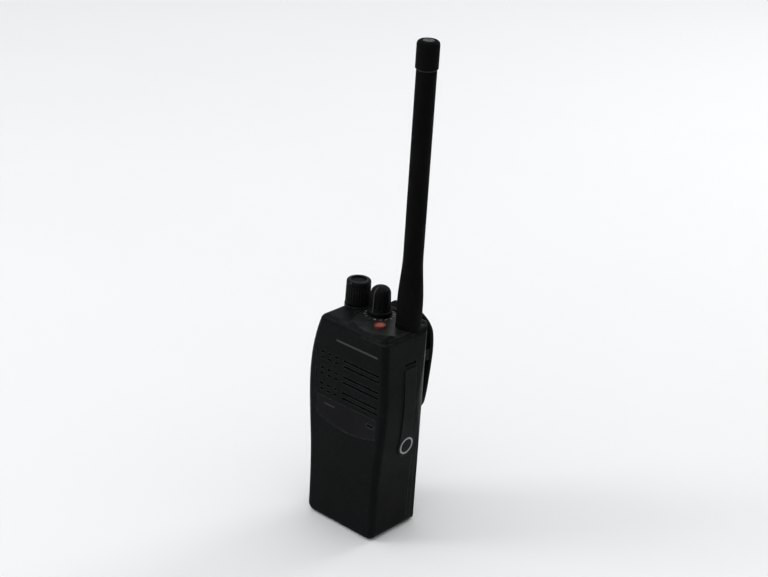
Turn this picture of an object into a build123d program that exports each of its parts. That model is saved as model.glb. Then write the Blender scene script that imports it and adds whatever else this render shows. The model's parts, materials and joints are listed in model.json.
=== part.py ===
from build123d import *
import math
import os

# Handheld two way radio, in millimetres.
# +Z is up, the front (loudspeaker) face looks along -Y, the antenna is on the +X side.
# The origin is in the middle of the flat foot that the radio stands on.

# ---- body ----
FOOT_HALF = 25.2            # half width at the foot
LOW_HALF = 25.9             # half width where the lower body starts to swell
LOW_Z = 42.0
WIDE_HALF = 28.75           # half width at the widest level
WIDE_Z = 80.0
HIGH_Z = 105.0
HIGH_HALF_LEFT = 27.2
HIGH_HALF_RIGHT = 27.7
DECK_HALF_LEFT = 21.4       # the left shoulder slopes in towards the volume knob
DECK_HALF_RIGHT = 27.1
DECK_LEAN_LEFT = 0.42       # sideways lean of each side where it meets the deck
DECK_LEAN_RIGHT = 0.02
DECK_Z = 125.0
FRONT_Y = -19.0
BACK_Y = 20.4
EDGE_RADIUS = 3.5
CORNER_RADIUS = 5.0
REAR_RADIUS = 13.0          # the rear corners as seen from above
WALL = 1.8
DECK_WALL = 2.6
BAY_TOP_Z = 107.6           # the battery bay reaches this high
BAY_Y = 9.9                 # rear edge of the housing beside the battery
SHELF_FRONT_Y = 4.4
SHELF_THICK = 1.8
SEAM = 0.6                  # width and depth of the seam under the top front lip
SEAM_Z = 122.0
SEAM_X = 9.0
FAR = 60.0                  # half size of the large cutting blocks
OVERCUT = 1.0               # how far a cutting solid runs past the surface it cuts
LAP = 1.0                   # overlap between two blocks that are fused

# ---- loudspeaker grille, label recess and microphone port ----
GRILLE_X0 = -2.7
GRILLE_X1 = 23.7
GRILLE_Z = 91.7
PAIR_PITCH = 9.7
PAIR_GAP = 3.4
SLOT_HEIGHT = 1.3
DOT_COLUMNS = (-18.0, -12.8, -7.6)
DOT_LENGTH = 2.7
LABEL_X0 = -20.5
LABEL_X1 = 23.0
LABEL_TOP_Z = 76.5
LABEL_SIDE_Z = 64.5
LABEL_LOW_Z = 61.2
LABEL_MIDDLE_X = 9.8
LABEL_DEPTH = 0.35
FILM_THICK = 0.24            # thickness of the film label in its recess
FILM_GAP = 0.25
EDGE_GROOVE_X = -22.6
EDGE_GROOVE_TOP_Z = 108.0
MIC_X = 18.9
MIC_Z = 71.3
MIC_PORT = 4.6
MIC_RADIUS = 3.0
MIC_SET = 1.4               # how far the capsule sits behind the front wall
MIC_LENGTH = 2.2
BOOT_WALL = 0.9
BOOT_DEPTH = 4.4

# ---- loudspeaker ----
SPEAKER_X = 3.0
SPEAKER_RADIUS = 16.0
MAGNET_RADIUS = 8.0
FELT_THICK = 0.4
RIM_DEPTH = 2.0
BASKET_Y = -10.0
MAGNET_BACK_Y = -6.2
STRAP_HALF_LENGTH = 19.5
STRAP_HALF_HEIGHT = 3.5
STRAP_THICK = 0.8
BASKET_LIP = 1.2
BASKET_NECK = 9.5           # radius where the basket meets the magnet
BASKET_HOLE = 5.0
BASKET_SHEET = 0.8
CONE_RADIUS = 14.5
CONE_SET = 0.6              # how far the cone's rim sits behind the basket's front
CONE_GAP = 1.6              # between the cone's apex and the basket
CONE_THICK = 0.4
DUST_CAP_RADIUS = 3.5
DUST_CAP_RISE = 1.2

# ---- deck: inlay, knobs, button, lamp and antenna ----
INLAY_FLOOR_Z = 123.4
INLAY_TOP_Z = 124.4
INLAY_BACK_Y = 15.0
INLAY_LEFT_X = -9.3
INLAY_RIGHT_X = 25.0
INLAY_FRONT = (11.0, -16.2)
INLAY_LEFT_Y = -3.5
INLAY_RIGHT_Y = -8.0
INLAY_GAP = 0.3
KNOB_Y = 6.0
VOLUME_X = -17.0
VOLUME_RADIUS = 7.1
VOLUME_BASE_Z = 126.0
VOLUME_TOP_Z = 139.6
VOLUME_DISH = 0.8
VOLUME_RIM = ((0.25, 1.6), (0.7, 0.5), (1.6, 0.0), (2.4, 0.0), (3.2, VOLUME_DISH))   # (in, down)
VOLUME_CROWN = 3.0          # plastic left above the shaft
VOLUME_MARK = 0.4           # half width of the pointer notch, and nearly its depth
VOLUME_MARK_RISE = 4.0
BOSS_RADIUS = 7.4
BOSS_TOP_Z = 125.5
BOSS_LOW_Z = 119.0
CHANNEL_X = -0.5
CHANNEL_RADIUS = 6.9
CHANNEL_WAIST = 5.9
CHANNEL_BASE_Z = 125.0
CHANNEL_TOP_Z = 141.2
CHANNEL_COLLAR = 2.2
CHANNEL_CROWN = 4.0
CHANNEL_DOME = 4.2
CHANNEL_TAPER = 0.3
CHANNEL_STEP = 0.5
FLUTES = 12
FLUTE_RADIUS = 0.9
FLUTE_SET = 0.5             # flute centres this far outside the waist
SHAFT_RADIUS = 3.0
FIT = 0.05                  # radial clearance of a running fit
BUSHING_RADIUS = 3.9
NUT_ACROSS = 9.0
NUT_THICK = 1.2
NUT_ROOM = 1.1              # room round a nut, beyond its flats
SEAL_WIRE = 0.5
NUT_SPACE_HEIGHT = 3.4
THREAD_PROUD = 0.4          # thread that shows above a nut
CONTROL_FLOOR = 1.0
SHAFT_END_GAP = 0.2
CONTROL_BOX = 4.5           # half side of the volume control's box
SWITCH_RADIUS = 6.8
CONTROL_LOW_Z = 111.0
CONTROL_TOP_Z = 118.0
ANTENNA_X = 20.0
ANTENNA_Y = 6.5
ANTENNA_BASE_Z = 124.7
ANTENNA_TOP_Z = 284.0
ANTENNA_BASE_RADIUS = 7.0
ANTENNA_ROD_RADIUS = 5.4
ANTENNA_FLARE_LOW_Z = 138.0
ANTENNA_FLARE_TOP_Z = 166.0
CAP_RADIUS = 6.05
CAP_LENGTH = 15.5
CAP_GROOVE = 0.5
CAP_SHOULDER = (0.3, 1.2)
CAP_RIM = ((0.0, 2.4), (0.5, 1.0), (1.6, 0.1), (2.4, 0.0), (3.4, 0.5))   # (in, down)
CAP_DISH = 0.7
CORE_RADIUS = 3.0
STUD_RADIUS = 3.5
STUD_LOW_Z = 114.6
STUD_TOP_Z = 133.0
SOCKET_RADIUS = 5.2
SOCKET_LOW_Z = 112.5
SOCKET_FLOOR_Z = 114.0
SOCKET_TOP_Z = 124.3
TOP_BUTTON = (10.4, -5.6)
TOP_BUTTON_RADIUS = 3.2
TOP_BUTTON_Z = 125.7
TOP_FLANGE = 0.8
TOP_FLANGE_Z = 120.9
TOP_FLANGE_THICK = 1.0
TOP_BUTTON_ROUND = 0.7
BUTTON_GAP = 0.2
LAMP = (3.2, -7.4)
LAMP_RADIUS = 1.2
LAMP_SUNK = 1.0
LAMP_PROUD = 0.3

# ---- side buttons on the -X wall: (middle height, height, flange face) ----
BUTTON_Y = -4.2
PTT = (91.0, 26.0, -25.2)
UPPER_BUTTON = (109.8, 6.0, -22.8)
LOWER_BUTTON = (68.0, 8.0, -25.2)
PTT_WIDTH = 11.0
SMALL_WIDTH = 8.0
FLANGE_THICK = 0.8
FLANGE_LIP = 0.9
BUTTON_PROUD = 0.9
SWITCH_GAP = 1.3            # from a button's flange to the switch behind it
SWITCH_HALF = 2.5
SWITCH_HEIGHT = 2.2
SWITCH_DEPTH = 2.6
SWITCH_EDGE = 0.2           # the switches stop this far inside the board's edge
PLUNGER_LENGTH = 0.5
PLUNGER_RADIUS = 1.0
LEG_THICK = 1.0
LEG_LAP = 3.0
BUTTON_END_FLAT = 0.6

# ---- accessory jacks and their cover on the +X wall ----
COVER_Y = 1.5
COVER_HALF = 4.5
COVER_LOW_Z = 55.2
DISC_Y = 2.7
DISC_RADIUS = 6.5
COVER_PIN_Z = 104.0
COVER_PIN_X = 26.3
PIN_RADIUS = 0.8
BARREL_RADIUS = 1.5
COVER_STEP = 0.8            # the strip starts this far below the hinge pin
COVER_PROUD = 0.7
COVER_SEAT = 1.85
POCKET_DEPTH = 2.0
POCKET_GAP = 0.3
POCKET_TOP_Z = 106.7        # room for the strip's top edge as it swings out
TOWER_X = 23.7
TOWER_MARGIN = 1.0
PIN_REACH = 1.8             # how far the pin runs into the housing at each end
EMBLEM_RADIUS = 5.2
EMBLEM_RIM = 1.1
JACK_Y = 1.0
JACK_RADIUS = 2.9
JACK_X0 = 12.0
JACK_X1 = 26.4
PLUG_35_RADIUS = 1.8
PLUG_35_Z = 91.0
PLUG_35_DEPTH = 13.0
PLUG_25_RADIUS = 1.3
PLUG_25_Z = 80.0
PLUG_25_DEPTH = 10.5

# ---- inside the housing ----
BOARD_HALF = 19.0
BOARD_FRONT_Y = -3.6
BOARD_BACK_Y = -2.0
BOARD_LOW_Z = 7.0
BOARD_TOP_Z = 107.0
CAN_BACK_Y = 1.8
CHASSIS_FRONT_Y = 2.6
CHASSIS_BACK_Y = 4.2
CHASSIS_HALF = 23.1
CHASSIS_LOW_Z = 5.0
CHASSIS_TOP_Z = 107.0
RAIL_X = 22.3
RAIL_BACK_Y = 8.4
RAIL_SLOT_Y0 = 5.5
RAIL_SLOT_Y1 = 7.1
SCREW_X = 20.0
SCREW_Z = (12.0, 58.0)
SCREW_RADIUS = 1.25
SCREW_HEAD = 2.1
HEAD_DEPTH = 1.0
DRIVE_RADIUS = 0.8
DRIVE_DEPTH = 0.6
SCREW_FRONT_Y = -12.0
POST_RADIUS = 2.4
POST_BACK_Y = -3.8
CONTACT_X = (-6.0, 0.0, 6.0)
CONTACT_Z = 97.0
CONTACT_HALF = 1.3
CONTACT_TIP_Y = 4.42
CONTACT_BEND = 0.6
PASS_ROOM = 1.0             # room round the parts that pass through the chassis
RAIL_ROOM = 0.4
CANS = ((-17.0, 15.0, 16.0, 40.0), (-17.0, 15.0, 42.0, 64.0), (-17.0, 8.0, 66.0, 90.0))   # x and z spans
CAN_SHEET = 0.3

# ---- battery ----
BATTERY_Y = 10.1
BATTERY_LOW_Z = 0.3
BATTERY_TOP_Z = 107.5
BLOCK_HALF = 22.0
BLOCK_FRONT_Y = 4.5
BLOCK_LOW_Z = 17.5
BLOCK_TOP_Z = 105.6
SPLIT_Y = 13.0
CELL_RADIUS = 6.9
CELL_PITCH = 13.9
CELL_LENGTH = 42.6
CELL_LOW_Z = 18.8
CELL_GAP = 0.4
CELL_Y = 12.4
ROOM_RADIUS = 5.0           # rear corners of the space round the cells
CELL_SLACK = 0.1
LINK_HALF = 3.0
TERMINAL_HALF = 3.0
TERMINAL_THICK = 0.6
GUARD_FRONT_Y = 15.0        # the protection board, below the cells
GUARD_THICK = 1.2
GUARD_HALF = 15.0
TONGUE_X = 22.9
TONGUES = ((30.0, 40.0), (72.0, 82.0))
POCKET_LOW_Z = 4.0
POCKET_FRONT_Y = 13.4
POCKET_HALF = 17.0
LABEL_THICK = 0.25
RATING_HALF = 16.0          # the blank label on the battery's back
RATING_LOW_Z = 20.0
RATING_TOP_Z = 60.0
PAD_X = (-9.0, 0.0, 9.0)
PAD_Z = 9.0
PAD_RADIUS = 2.2
PAD_DEPTH = 0.7
PAD_SUNK = 0.2

# ---- battery latch in the foot ----
LATCH_HALF = 9.0
LATCH_FRONT_Y = -1.0
LATCH_BACK_Y = 8.4
LATCH_LOW_Z = 2.0
LATCH_TOP_Z = 4.0
LATCH_TRAVEL = 2.5
TONGUE_HALF = 5.0
LATCH_TONGUE_Y = 12.2
THUMB_HALF = 6.0
THUMB_Y0 = 1.2
THUMB_Y1 = 4.2
THUMB_LOW_Z = 0.3
LATCH_SPRING_Y = -7.0
LATCH_SPRING_X = 5.0
LATCH_SPRING_RADIUS = 0.9
LATCH_WALL = 1.2
LATCH_ROOM = 0.4            # room round the tongue in the battery's slot
RIB_COUNT = 3
RIB_START = 0.6
RIB_PITCH = 0.8
RIB_CUT = 0.35

# ---- belt clip ----
CLIP_HALF = 17.0
CLIP_PIN_Y = 26.6
CLIP_PIN_Z = 98.0
CLIP_PIN_RADIUS = 1.25
CLIP_MIDDLE_Z = 94.0
CLIP_HEIGHT = 61.4
CLIP_CORNER = 6.0
CLIP_TOP_CORNER = 15.0      # rounding of the thumb end's corners
CLIP_OUTER = ((28.2, 124.6), (32.9, 111.0), (33.8, 100.0), (32.2, 84.0), (30.6, 72.0), (28.6, 64.6))
CLIP_INNER = ((27.0, 123.2), (30.2, 111.0), (31.0, 99.0), (29.8, 84.0), (25.8, 71.0), (22.0, 67.0))
CLIP_TIP = (24.6, 63.4)
CHEEK_BACK_Y = 31.8
LUG_X0 = 12.0
LUG_X1 = 14.0
LUG_RADIUS = 3.4
CHEEK_X0 = 14.3
CHEEK_X1 = 16.3
BRACKET_HALF = 14.0
BRACKET_THICK = 1.6
BRACKET_LOW_Z = 72.0
BRACKET_TOP_Z = 106.0
SPRING_COIL = 2.3
SPRING_HALF = 6.0
SPRING_TURNS = 5
SPRING_START = 1.6
SPRING_PITCH = 2.2
SPRING_GROOVE = 0.4
SPRING_WIRE = 1.0
SPRING_LEG = 12.0


# ---- shapes used again and again ----
def box(x0, x1, y0, y1, z0, z1):
    """Block between two opposite corners."""
    centre = Pos((x0 + x1) / 2, (y0 + y1) / 2, (z0 + z1) / 2)
    return centre * Box(x1 - x0, y1 - y0, z1 - z0)


def rod_x(y, z, x0, x1, radius):
    return Pos((x0 + x1) / 2, y, z) * Rot(0, 90, 0) * Cylinder(radius, x1 - x0)


def rod_y(x, z, y0, y1, radius):
    return Pos(x, (y0 + y1) / 2, z) * Rot(90, 0, 0) * Cylinder(radius, y1 - y0)


def rod_z(x, y, z0, z1, radius):
    return Pos(x, y, (z0 + z1) / 2) * Cylinder(radius, z1 - z0)


def slab_x(face, x0, x1):
    """A face drawn in (Y, Z), thickened from x0 to x1."""
    return Pos(x0, 0, 0) * extrude(Plane.YZ * face, amount=x1 - x0)


def slab_y(face, y0, y1):
    """A face drawn in (X, Z), thickened from y0 to y1."""
    return Pos(0, y1, 0) * extrude(Plane.XZ * face, amount=y1 - y0)


def slab_z(face, z0, z1):
    """A face drawn in (X, Y), thickened from z0 to z1."""
    return Pos(0, 0, z0) * extrude(face, amount=z1 - z0)


def turned(points, x, y):
    """A solid of revolution about the vertical through (x, y), from (radius, z) points."""
    profile = make_face(Polyline(*points, close=True))
    return Pos(x, y, 0) * revolve(Plane.XZ * profile, Axis.Z)


def group(solids):
    """Several separate solids kept together in one node."""
    return Compound(children=[part.solid() for part in solids])


def body_outline(inset):
    """Front view of the body: barrel sides, a sloping left shoulder and a flat deck."""
    top = DECK_Z - inset
    left = Spline(
        (inset - FOOT_HALF, inset),
        (inset - LOW_HALF, LOW_Z),
        (inset - WIDE_HALF, WIDE_Z),
        (inset - HIGH_HALF_LEFT, HIGH_Z),
        (inset - DECK_HALF_LEFT, top),
        tangents=[(0, 1), (DECK_LEAN_LEFT, 1)],
    )
    right = Spline(
        (FOOT_HALF - inset, inset),
        (LOW_HALF - inset, LOW_Z),
        (WIDE_HALF - inset, WIDE_Z),
        (HIGH_HALF_RIGHT - inset, HIGH_Z),
        (DECK_HALF_RIGHT - inset, top),
        tangents=[(0, 1), (-DECK_LEAN_RIGHT, 1)],
    )
    foot = Line(left @ 0, right @ 0)
    deck = Line(left @ 1, right @ 1)
    outline = make_face([left, deck, right, foot])
    return fillet(outline.vertices(), CORNER_RADIUS - inset)


def body_block(inset):
    """The whole body's rounded block, drawn in on itself by inset."""
    block = slab_y(body_outline(inset), FRONT_Y + inset, BACK_Y - inset)
    by_depth = block.faces().sort_by(Axis.Y)
    rims = by_depth[0].edges() + by_depth[-1].edges()
    return fillet(rims, EDGE_RADIUS - inset) & rear_corners(inset)


def rear_corners(inset):
    """Tall block with a square front and well rounded rear corners, to trim the body with."""
    plan = Pos(0, BACK_Y - inset - FAR / 2) * Rectangle(2 * (WIDE_HALF - inset), FAR)
    plan = fillet(plan.vertices().sort_by(Axis.Y)[-2:], REAR_RADIUS - inset)
    return slab_z(plan, -FAR, DECK_Z + FAR)


def cover_outline(margin, top):
    """Side view of the accessory cover: a strip that ends in a round thumb disc."""
    strip = Pos(COVER_Y, (COVER_LOW_Z + top) / 2) * Rectangle(2 * (COVER_HALF + margin), top - COVER_LOW_Z)
    disc = Pos(DISC_Y, COVER_LOW_Z) * Circle(DISC_RADIUS + margin)
    return strip + disc


def button_outline(button, width, margin):
    """Side view of a side button, with its rounded ends."""
    middle_z, height, _ = button
    wide = width + 2 * margin
    tall = height + 2 * margin
    return Pos(BUTTON_Y, middle_z) * RectangleRounded(wide, tall, min(wide, tall) / 2 - BUTTON_END_FLAT)


def inlay_outline(gap):
    """Top view of the deck inlay: a rounded front and straight sides."""
    left = INLAY_LEFT_X + gap
    right = INLAY_RIGHT_X - gap
    back = INLAY_BACK_Y - gap
    front = (INLAY_FRONT[0], INLAY_FRONT[1] + gap)
    arc = ThreePointArc((left, INLAY_LEFT_Y), front, (right, INLAY_RIGHT_Y))
    sides = Polyline(arc @ 1, (right, back), (left, back), arc @ 0)
    return make_face([arc, sides])


def grille_rows():
    """Heights of the six grille rows, in three close pairs."""
    rows = []
    for pair in (-1, 0, 1):
        for half in (-0.5, 0.5):
            rows.append(GRILLE_Z + pair * PAIR_PITCH + half * PAIR_GAP)
    return rows


def screw_places():
    return [(side * SCREW_X, z) for side in (-1, 1) for z in SCREW_Z]


def small_buttons():
    return [(PTT, PTT_WIDTH), (UPPER_BUTTON, SMALL_WIDTH), (LOWER_BUTTON, SMALL_WIDTH)]


# ---- the housing ----
def grille_cuts():
    """Long slots on the right and short dashes on the left, cut through the front wall."""
    cuts = []
    slot_length = GRILLE_X1 - GRILLE_X0
    slot_x = (GRILLE_X0 + GRILLE_X1) / 2
    for z in grille_rows():
        cuts.append(Pos(slot_x, z) * SlotOverall(slot_length, SLOT_HEIGHT))
        cuts += [Pos(x, z) * SlotOverall(DOT_LENGTH, SLOT_HEIGHT) for x in DOT_COLUMNS]
    cuts.append(Pos(MIC_X, MIC_Z) * SlotOverall(MIC_PORT, SLOT_HEIGHT))
    return [slab_y(cut, FRONT_Y - OVERCUT, FRONT_Y + WALL + OVERCUT) for cut in cuts]


def label_outline(gap):
    """The label's place on the front: straight top and sides, curved lower edge."""
    left, right, top = LABEL_X0 + gap, LABEL_X1 - gap, LABEL_TOP_Z - gap
    low = ThreePointArc(
        (left, LABEL_SIDE_Z + gap), (LABEL_MIDDLE_X, LABEL_LOW_Z + gap), (right, LABEL_SIDE_Z + gap)
    )
    upper = Polyline(low @ 1, (right, top), (left, top), low @ 0)
    return make_face([low, upper])


def front_label():
    """Plain film label in its recess under the grille, open at the microphone port."""
    back = FRONT_Y + LABEL_DEPTH
    port = Pos(MIC_X, MIC_Z) * SlotOverall(MIC_PORT + 2 * FILM_GAP, SLOT_HEIGHT + 2 * FILM_GAP)
    return slab_y(label_outline(FILM_GAP) - port, back - FILM_THICK, back)


def front_recesses():
    """The shallow label recess and the groove beside the grille."""
    label = slab_y(label_outline(0), FRONT_Y - OVERCUT, FRONT_Y + LABEL_DEPTH)
    groove = box(
        EDGE_GROOVE_X, EDGE_GROOVE_X + SEAM, FRONT_Y - OVERCUT, FRONT_Y + SEAM,
        LABEL_TOP_Z, EDGE_GROOVE_TOP_Z,
    )
    return [label, groove]


def front_housing():
    """Moulded front, sides and top, open at the back where the battery sits."""
    whole = body_block(0)
    cavity = body_block(WALL) & box(-FAR, FAR, FRONT_Y, FAR, 0, DECK_Z - DECK_WALL)
    cavity -= box(-FAR, FAR, SHELF_FRONT_Y, FAR, BAY_TOP_Z, BAY_TOP_Z + SHELF_THICK)
    knob_boss = rod_z(VOLUME_X, KNOB_Y, BOSS_LOW_Z, BOSS_TOP_Z, BOSS_RADIUS)
    shell = whole + knob_boss - cavity
    shell -= box(-FAR, FAR, BAY_Y, FAR, -OVERCUT, BAY_TOP_Z)

    tower_reach = DISC_RADIUS + TOWER_MARGIN
    tower = box(
        TOWER_X, FAR, COVER_Y - tower_reach, BAY_Y,
        COVER_LOW_Z - tower_reach, POCKET_TOP_Z + TOWER_MARGIN,
    )
    shell += tower & whole
    for x, z in screw_places():
        shell += rod_y(x, z, FRONT_Y + WALL, POST_BACK_Y, POST_RADIUS)
        shell -= rod_y(x, z, SCREW_FRONT_Y, POST_BACK_Y + OVERCUT, SCREW_RADIUS)
    spring_seat = LATCH_SPRING_Y - LATCH_WALL
    shell += box(-LATCH_HALF, LATCH_HALF, spring_seat, LATCH_SPRING_Y, WALL / 2, LATCH_TOP_Z)

    for cut in grille_cuts() + front_recesses():
        shell -= cut
    shell -= box(SEAM_X, FAR, -FAR, SHELF_FRONT_Y, SEAM_Z - SEAM / 2, SEAM_Z + SEAM / 2) - body_block(SEAM)
    shell -= slab_z(inlay_outline(0), INLAY_FLOOR_Z, DECK_Z + OVERCUT)
    shell -= rod_z(*TOP_BUTTON, CONTROL_TOP_Z, DECK_Z, TOP_BUTTON_RADIUS + BUTTON_GAP)
    shell -= rod_z(*LAMP, CONTROL_TOP_Z, DECK_Z, LAMP_RADIUS)
    shell -= rod_z(VOLUME_X, KNOB_Y, CONTROL_TOP_Z, DECK_Z + OVERCUT, BUSHING_RADIUS)
    shell -= rod_z(CHANNEL_X, KNOB_Y, CONTROL_TOP_Z, DECK_Z + OVERCUT, BUSHING_RADIUS)
    shell -= rod_z(ANTENNA_X, ANTENNA_Y, CONTROL_TOP_Z, DECK_Z + OVERCUT, SOCKET_RADIUS)
    shell -= rod_z(ANTENNA_X, ANTENNA_Y, INLAY_TOP_Z, DECK_Z + OVERCUT, ANTENNA_BASE_RADIUS + INLAY_GAP)

    for button, width in small_buttons():
        shell -= slab_x(button_outline(button, width, BUTTON_GAP), -FAR, -CHASSIS_HALF)

    pocket = slab_x(cover_outline(POCKET_GAP, POCKET_TOP_Z), 0, FAR)
    pocket -= slab_y(body_outline(POCKET_DEPTH), FRONT_Y, BACK_Y)
    hinge_room = rod_y(
        COVER_PIN_X, COVER_PIN_Z,
        COVER_Y - COVER_HALF - POCKET_GAP, COVER_Y + COVER_HALF + POCKET_GAP,
        BARREL_RADIUS + POCKET_GAP,
    )
    shell -= pocket
    shell -= hinge_room
    shell -= cover_pin_rod()
    for z in (PLUG_35_Z, PLUG_25_Z):
        shell -= rod_x(JACK_Y, z, JACK_X0, FAR, JACK_RADIUS)

    shell -= box(
        -THUMB_HALF - BUTTON_GAP, THUMB_HALF + BUTTON_GAP,
        THUMB_Y0 - LATCH_TRAVEL - BUTTON_GAP, THUMB_Y1 + BUTTON_GAP, -OVERCUT, LATCH_LOW_Z,
    )
    return shell


def deck_inlay():
    """Trim plate on the deck, sunk below the front lip."""
    plate = slab_z(inlay_outline(INLAY_GAP), INLAY_FLOOR_Z, INLAY_TOP_Z)
    plate -= rod_z(ANTENNA_X, ANTENNA_Y, INLAY_FLOOR_Z, DECK_Z, ANTENNA_BASE_RADIUS + INLAY_GAP)
    plate -= rod_z(CHANNEL_X, KNOB_Y, INLAY_FLOOR_Z, DECK_Z, NUT_ACROSS / 2 + NUT_ROOM)
    plate -= rod_z(*TOP_BUTTON, INLAY_FLOOR_Z, DECK_Z, TOP_BUTTON_RADIUS + BUTTON_GAP)
    plate -= rod_z(*LAMP, INLAY_FLOOR_Z, DECK_Z, LAMP_RADIUS)
    return plate


def status_lamp():
    return rod_z(*LAMP, INLAY_FLOOR_Z - LAMP_SUNK, INLAY_TOP_Z + LAMP_PROUD, LAMP_RADIUS)


# ---- loudspeaker and microphone ----
def grille_felt():
    """Cloth behind the whole grille."""
    high = PAIR_PITCH + PAIR_GAP
    front = FRONT_Y + WALL
    return box(
        DOT_COLUMNS[0] - DOT_LENGTH / 2, GRILLE_X1 - BUTTON_GAP, front, front + FELT_THICK,
        GRILLE_Z - high, GRILLE_Z + high,
    )


def speaker_y(depth):
    """Depth inside the housing, measured back from the felt."""
    return FRONT_Y + WALL + FELT_THICK + depth


def ring_y(profile):
    """A ring or cup about the loudspeaker's axis, from (radius, y) points."""
    face = make_face(Polyline(*profile, close=True))
    return Pos(SPEAKER_X, 0, GRILLE_Z) * revolve(face, Axis.Y)


def speaker_frame():
    """Pressed basket that holds the cone's rim and the magnet."""
    front = speaker_y(0)
    rim = speaker_y(RIM_DEPTH)
    inside = SPEAKER_RADIUS - BASKET_LIP
    seat = BASKET_Y - BASKET_SHEET
    return ring_y([
        (inside, front), (SPEAKER_RADIUS, front), (SPEAKER_RADIUS, rim),
        (BASKET_NECK, BASKET_Y), (BASKET_HOLE, BASKET_Y), (BASKET_HOLE, seat),
        (BASKET_NECK - BASKET_SHEET / 2, seat), (inside, rim - BASKET_SHEET / 2),
    ])


def speaker_cone():
    """Thin cone and dust cap inside the basket."""
    front = speaker_y(CONE_SET)
    deep = BASKET_Y - CONE_GAP
    return ring_y([
        (0, deep - DUST_CAP_RISE), (DUST_CAP_RADIUS, deep - CONE_THICK), (CONE_RADIUS, front),
        (CONE_RADIUS, front + CONE_THICK), (DUST_CAP_RADIUS, deep), (0, deep),
    ])


def speaker_magnet():
    return rod_y(SPEAKER_X, GRILLE_Z, BASKET_Y, MAGNET_BACK_Y, MAGNET_RADIUS)


def speaker_strap():
    """Spring strap that presses the loudspeaker against the front wall."""
    z0 = GRILLE_Z - STRAP_HALF_HEIGHT
    z1 = GRILLE_Z + STRAP_HALF_HEIGHT
    back = MAGNET_BACK_Y + STRAP_THICK
    strap = box(
        SPEAKER_X - STRAP_HALF_LENGTH, SPEAKER_X + STRAP_HALF_LENGTH,
        MAGNET_BACK_Y, back, z0, z1,
    )
    for side in (-1, 1):
        tip = SPEAKER_X + side * STRAP_HALF_LENGTH
        x0, x1 = sorted((tip, tip - side * STRAP_THICK))
        strap += box(x0, x1, speaker_y(0), back, z0, z1)
    return strap


def microphone_capsule():
    front = FRONT_Y + WALL + MIC_SET
    return rod_y(MIC_X, MIC_Z, front, front + MIC_LENGTH, MIC_RADIUS)


def microphone_boot():
    """Rubber boot round the microphone, with a sound port towards the front."""
    front = FRONT_Y + WALL
    boot = rod_y(MIC_X, MIC_Z, front, front + BOOT_DEPTH, MIC_RADIUS + BOOT_WALL)
    boot -= microphone_capsule()
    return boot - rod_y(MIC_X, MIC_Z, front, front + MIC_SET, MIC_RADIUS / 2)


# ---- electronics ----
def main_board():
    board = box(-BOARD_HALF, BOARD_HALF, BOARD_FRONT_Y, BOARD_BACK_Y, BOARD_LOW_Z, BOARD_TOP_Z)
    for x, z in screw_places():
        board -= rod_y(x, z, BOARD_FRONT_Y - OVERCUT, BOARD_BACK_Y + OVERCUT, POST_RADIUS + BUTTON_GAP)
    return board


def shield_cans():
    """Three tinned cans over the board's circuits, open towards the board."""
    cans = []
    for x0, x1, z0, z1 in CANS:
        can = box(x0, x1, BOARD_BACK_Y, CAN_BACK_Y, z0, z1)
        can -= box(
            x0 + CAN_SHEET, x1 - CAN_SHEET, BOARD_BACK_Y, CAN_BACK_Y - CAN_SHEET,
            z0 + CAN_SHEET, z1 - CAN_SHEET,
        )
        cans.append(can)
    return group(cans)


def chassis():
    """Die-cast back plate with a rail along each side for the battery's tongues."""
    plate = box(
        -CHASSIS_HALF, CHASSIS_HALF, CHASSIS_FRONT_Y, CHASSIS_BACK_Y, CHASSIS_LOW_Z, CHASSIS_TOP_Z
    )
    for side in (-1, 1):
        x0, x1 = sorted((side * RAIL_X, side * CHASSIS_HALF))
        plate += box(x0, x1, CHASSIS_FRONT_Y, RAIL_BACK_Y, CHASSIS_LOW_Z, CHASSIS_TOP_Z)
        slot_top = TONGUES[-1][1] + PASS_ROOM
        plate -= box(x0 - OVERCUT, x1 + OVERCUT, RAIL_SLOT_Y0, RAIL_SLOT_Y1, CHASSIS_LOW_Z, slot_top)
    plate -= box(
        JACK_X0 - PASS_ROOM, FAR, CHASSIS_FRONT_Y - OVERCUT, RAIL_SLOT_Y0,
        PLUG_25_Z - JACK_RADIUS - PASS_ROOM, PLUG_35_Z + JACK_RADIUS + PASS_ROOM,
    )
    window = CONTACT_X[-1] + CONTACT_HALF + PASS_ROOM
    tall = CONTACT_HALF + PASS_ROOM
    plate -= box(
        -window, window, CHASSIS_FRONT_Y - OVERCUT, CHASSIS_BACK_Y + OVERCUT,
        CONTACT_Z - tall, CONTACT_Z + tall,
    )
    for screw in screw_solids():
        plate -= screw
    return plate


def screw_solids():
    """Countersunk screws that pull the chassis onto the housing's posts."""
    screws = []
    for x, z in screw_places():
        shank = rod_y(x, z, SCREW_FRONT_Y, CHASSIS_BACK_Y - HEAD_DEPTH, SCREW_RADIUS)
        cone = Pos(0, 0, HEAD_DEPTH / 2) * Cone(SCREW_HEAD, SCREW_RADIUS, HEAD_DEPTH)
        head = Pos(x, CHASSIS_BACK_Y, z) * Rot(90, 0, 0) * cone
        screws.append(shank + head)
    return screws


def chassis_screws():
    bottom = CHASSIS_BACK_Y - DRIVE_DEPTH
    drives = [rod_y(x, z, bottom, CHASSIS_BACK_Y, DRIVE_RADIUS) for x, z in screw_places()]
    return group([screw - drive for screw, drive in zip(screw_solids(), drives)])


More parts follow.
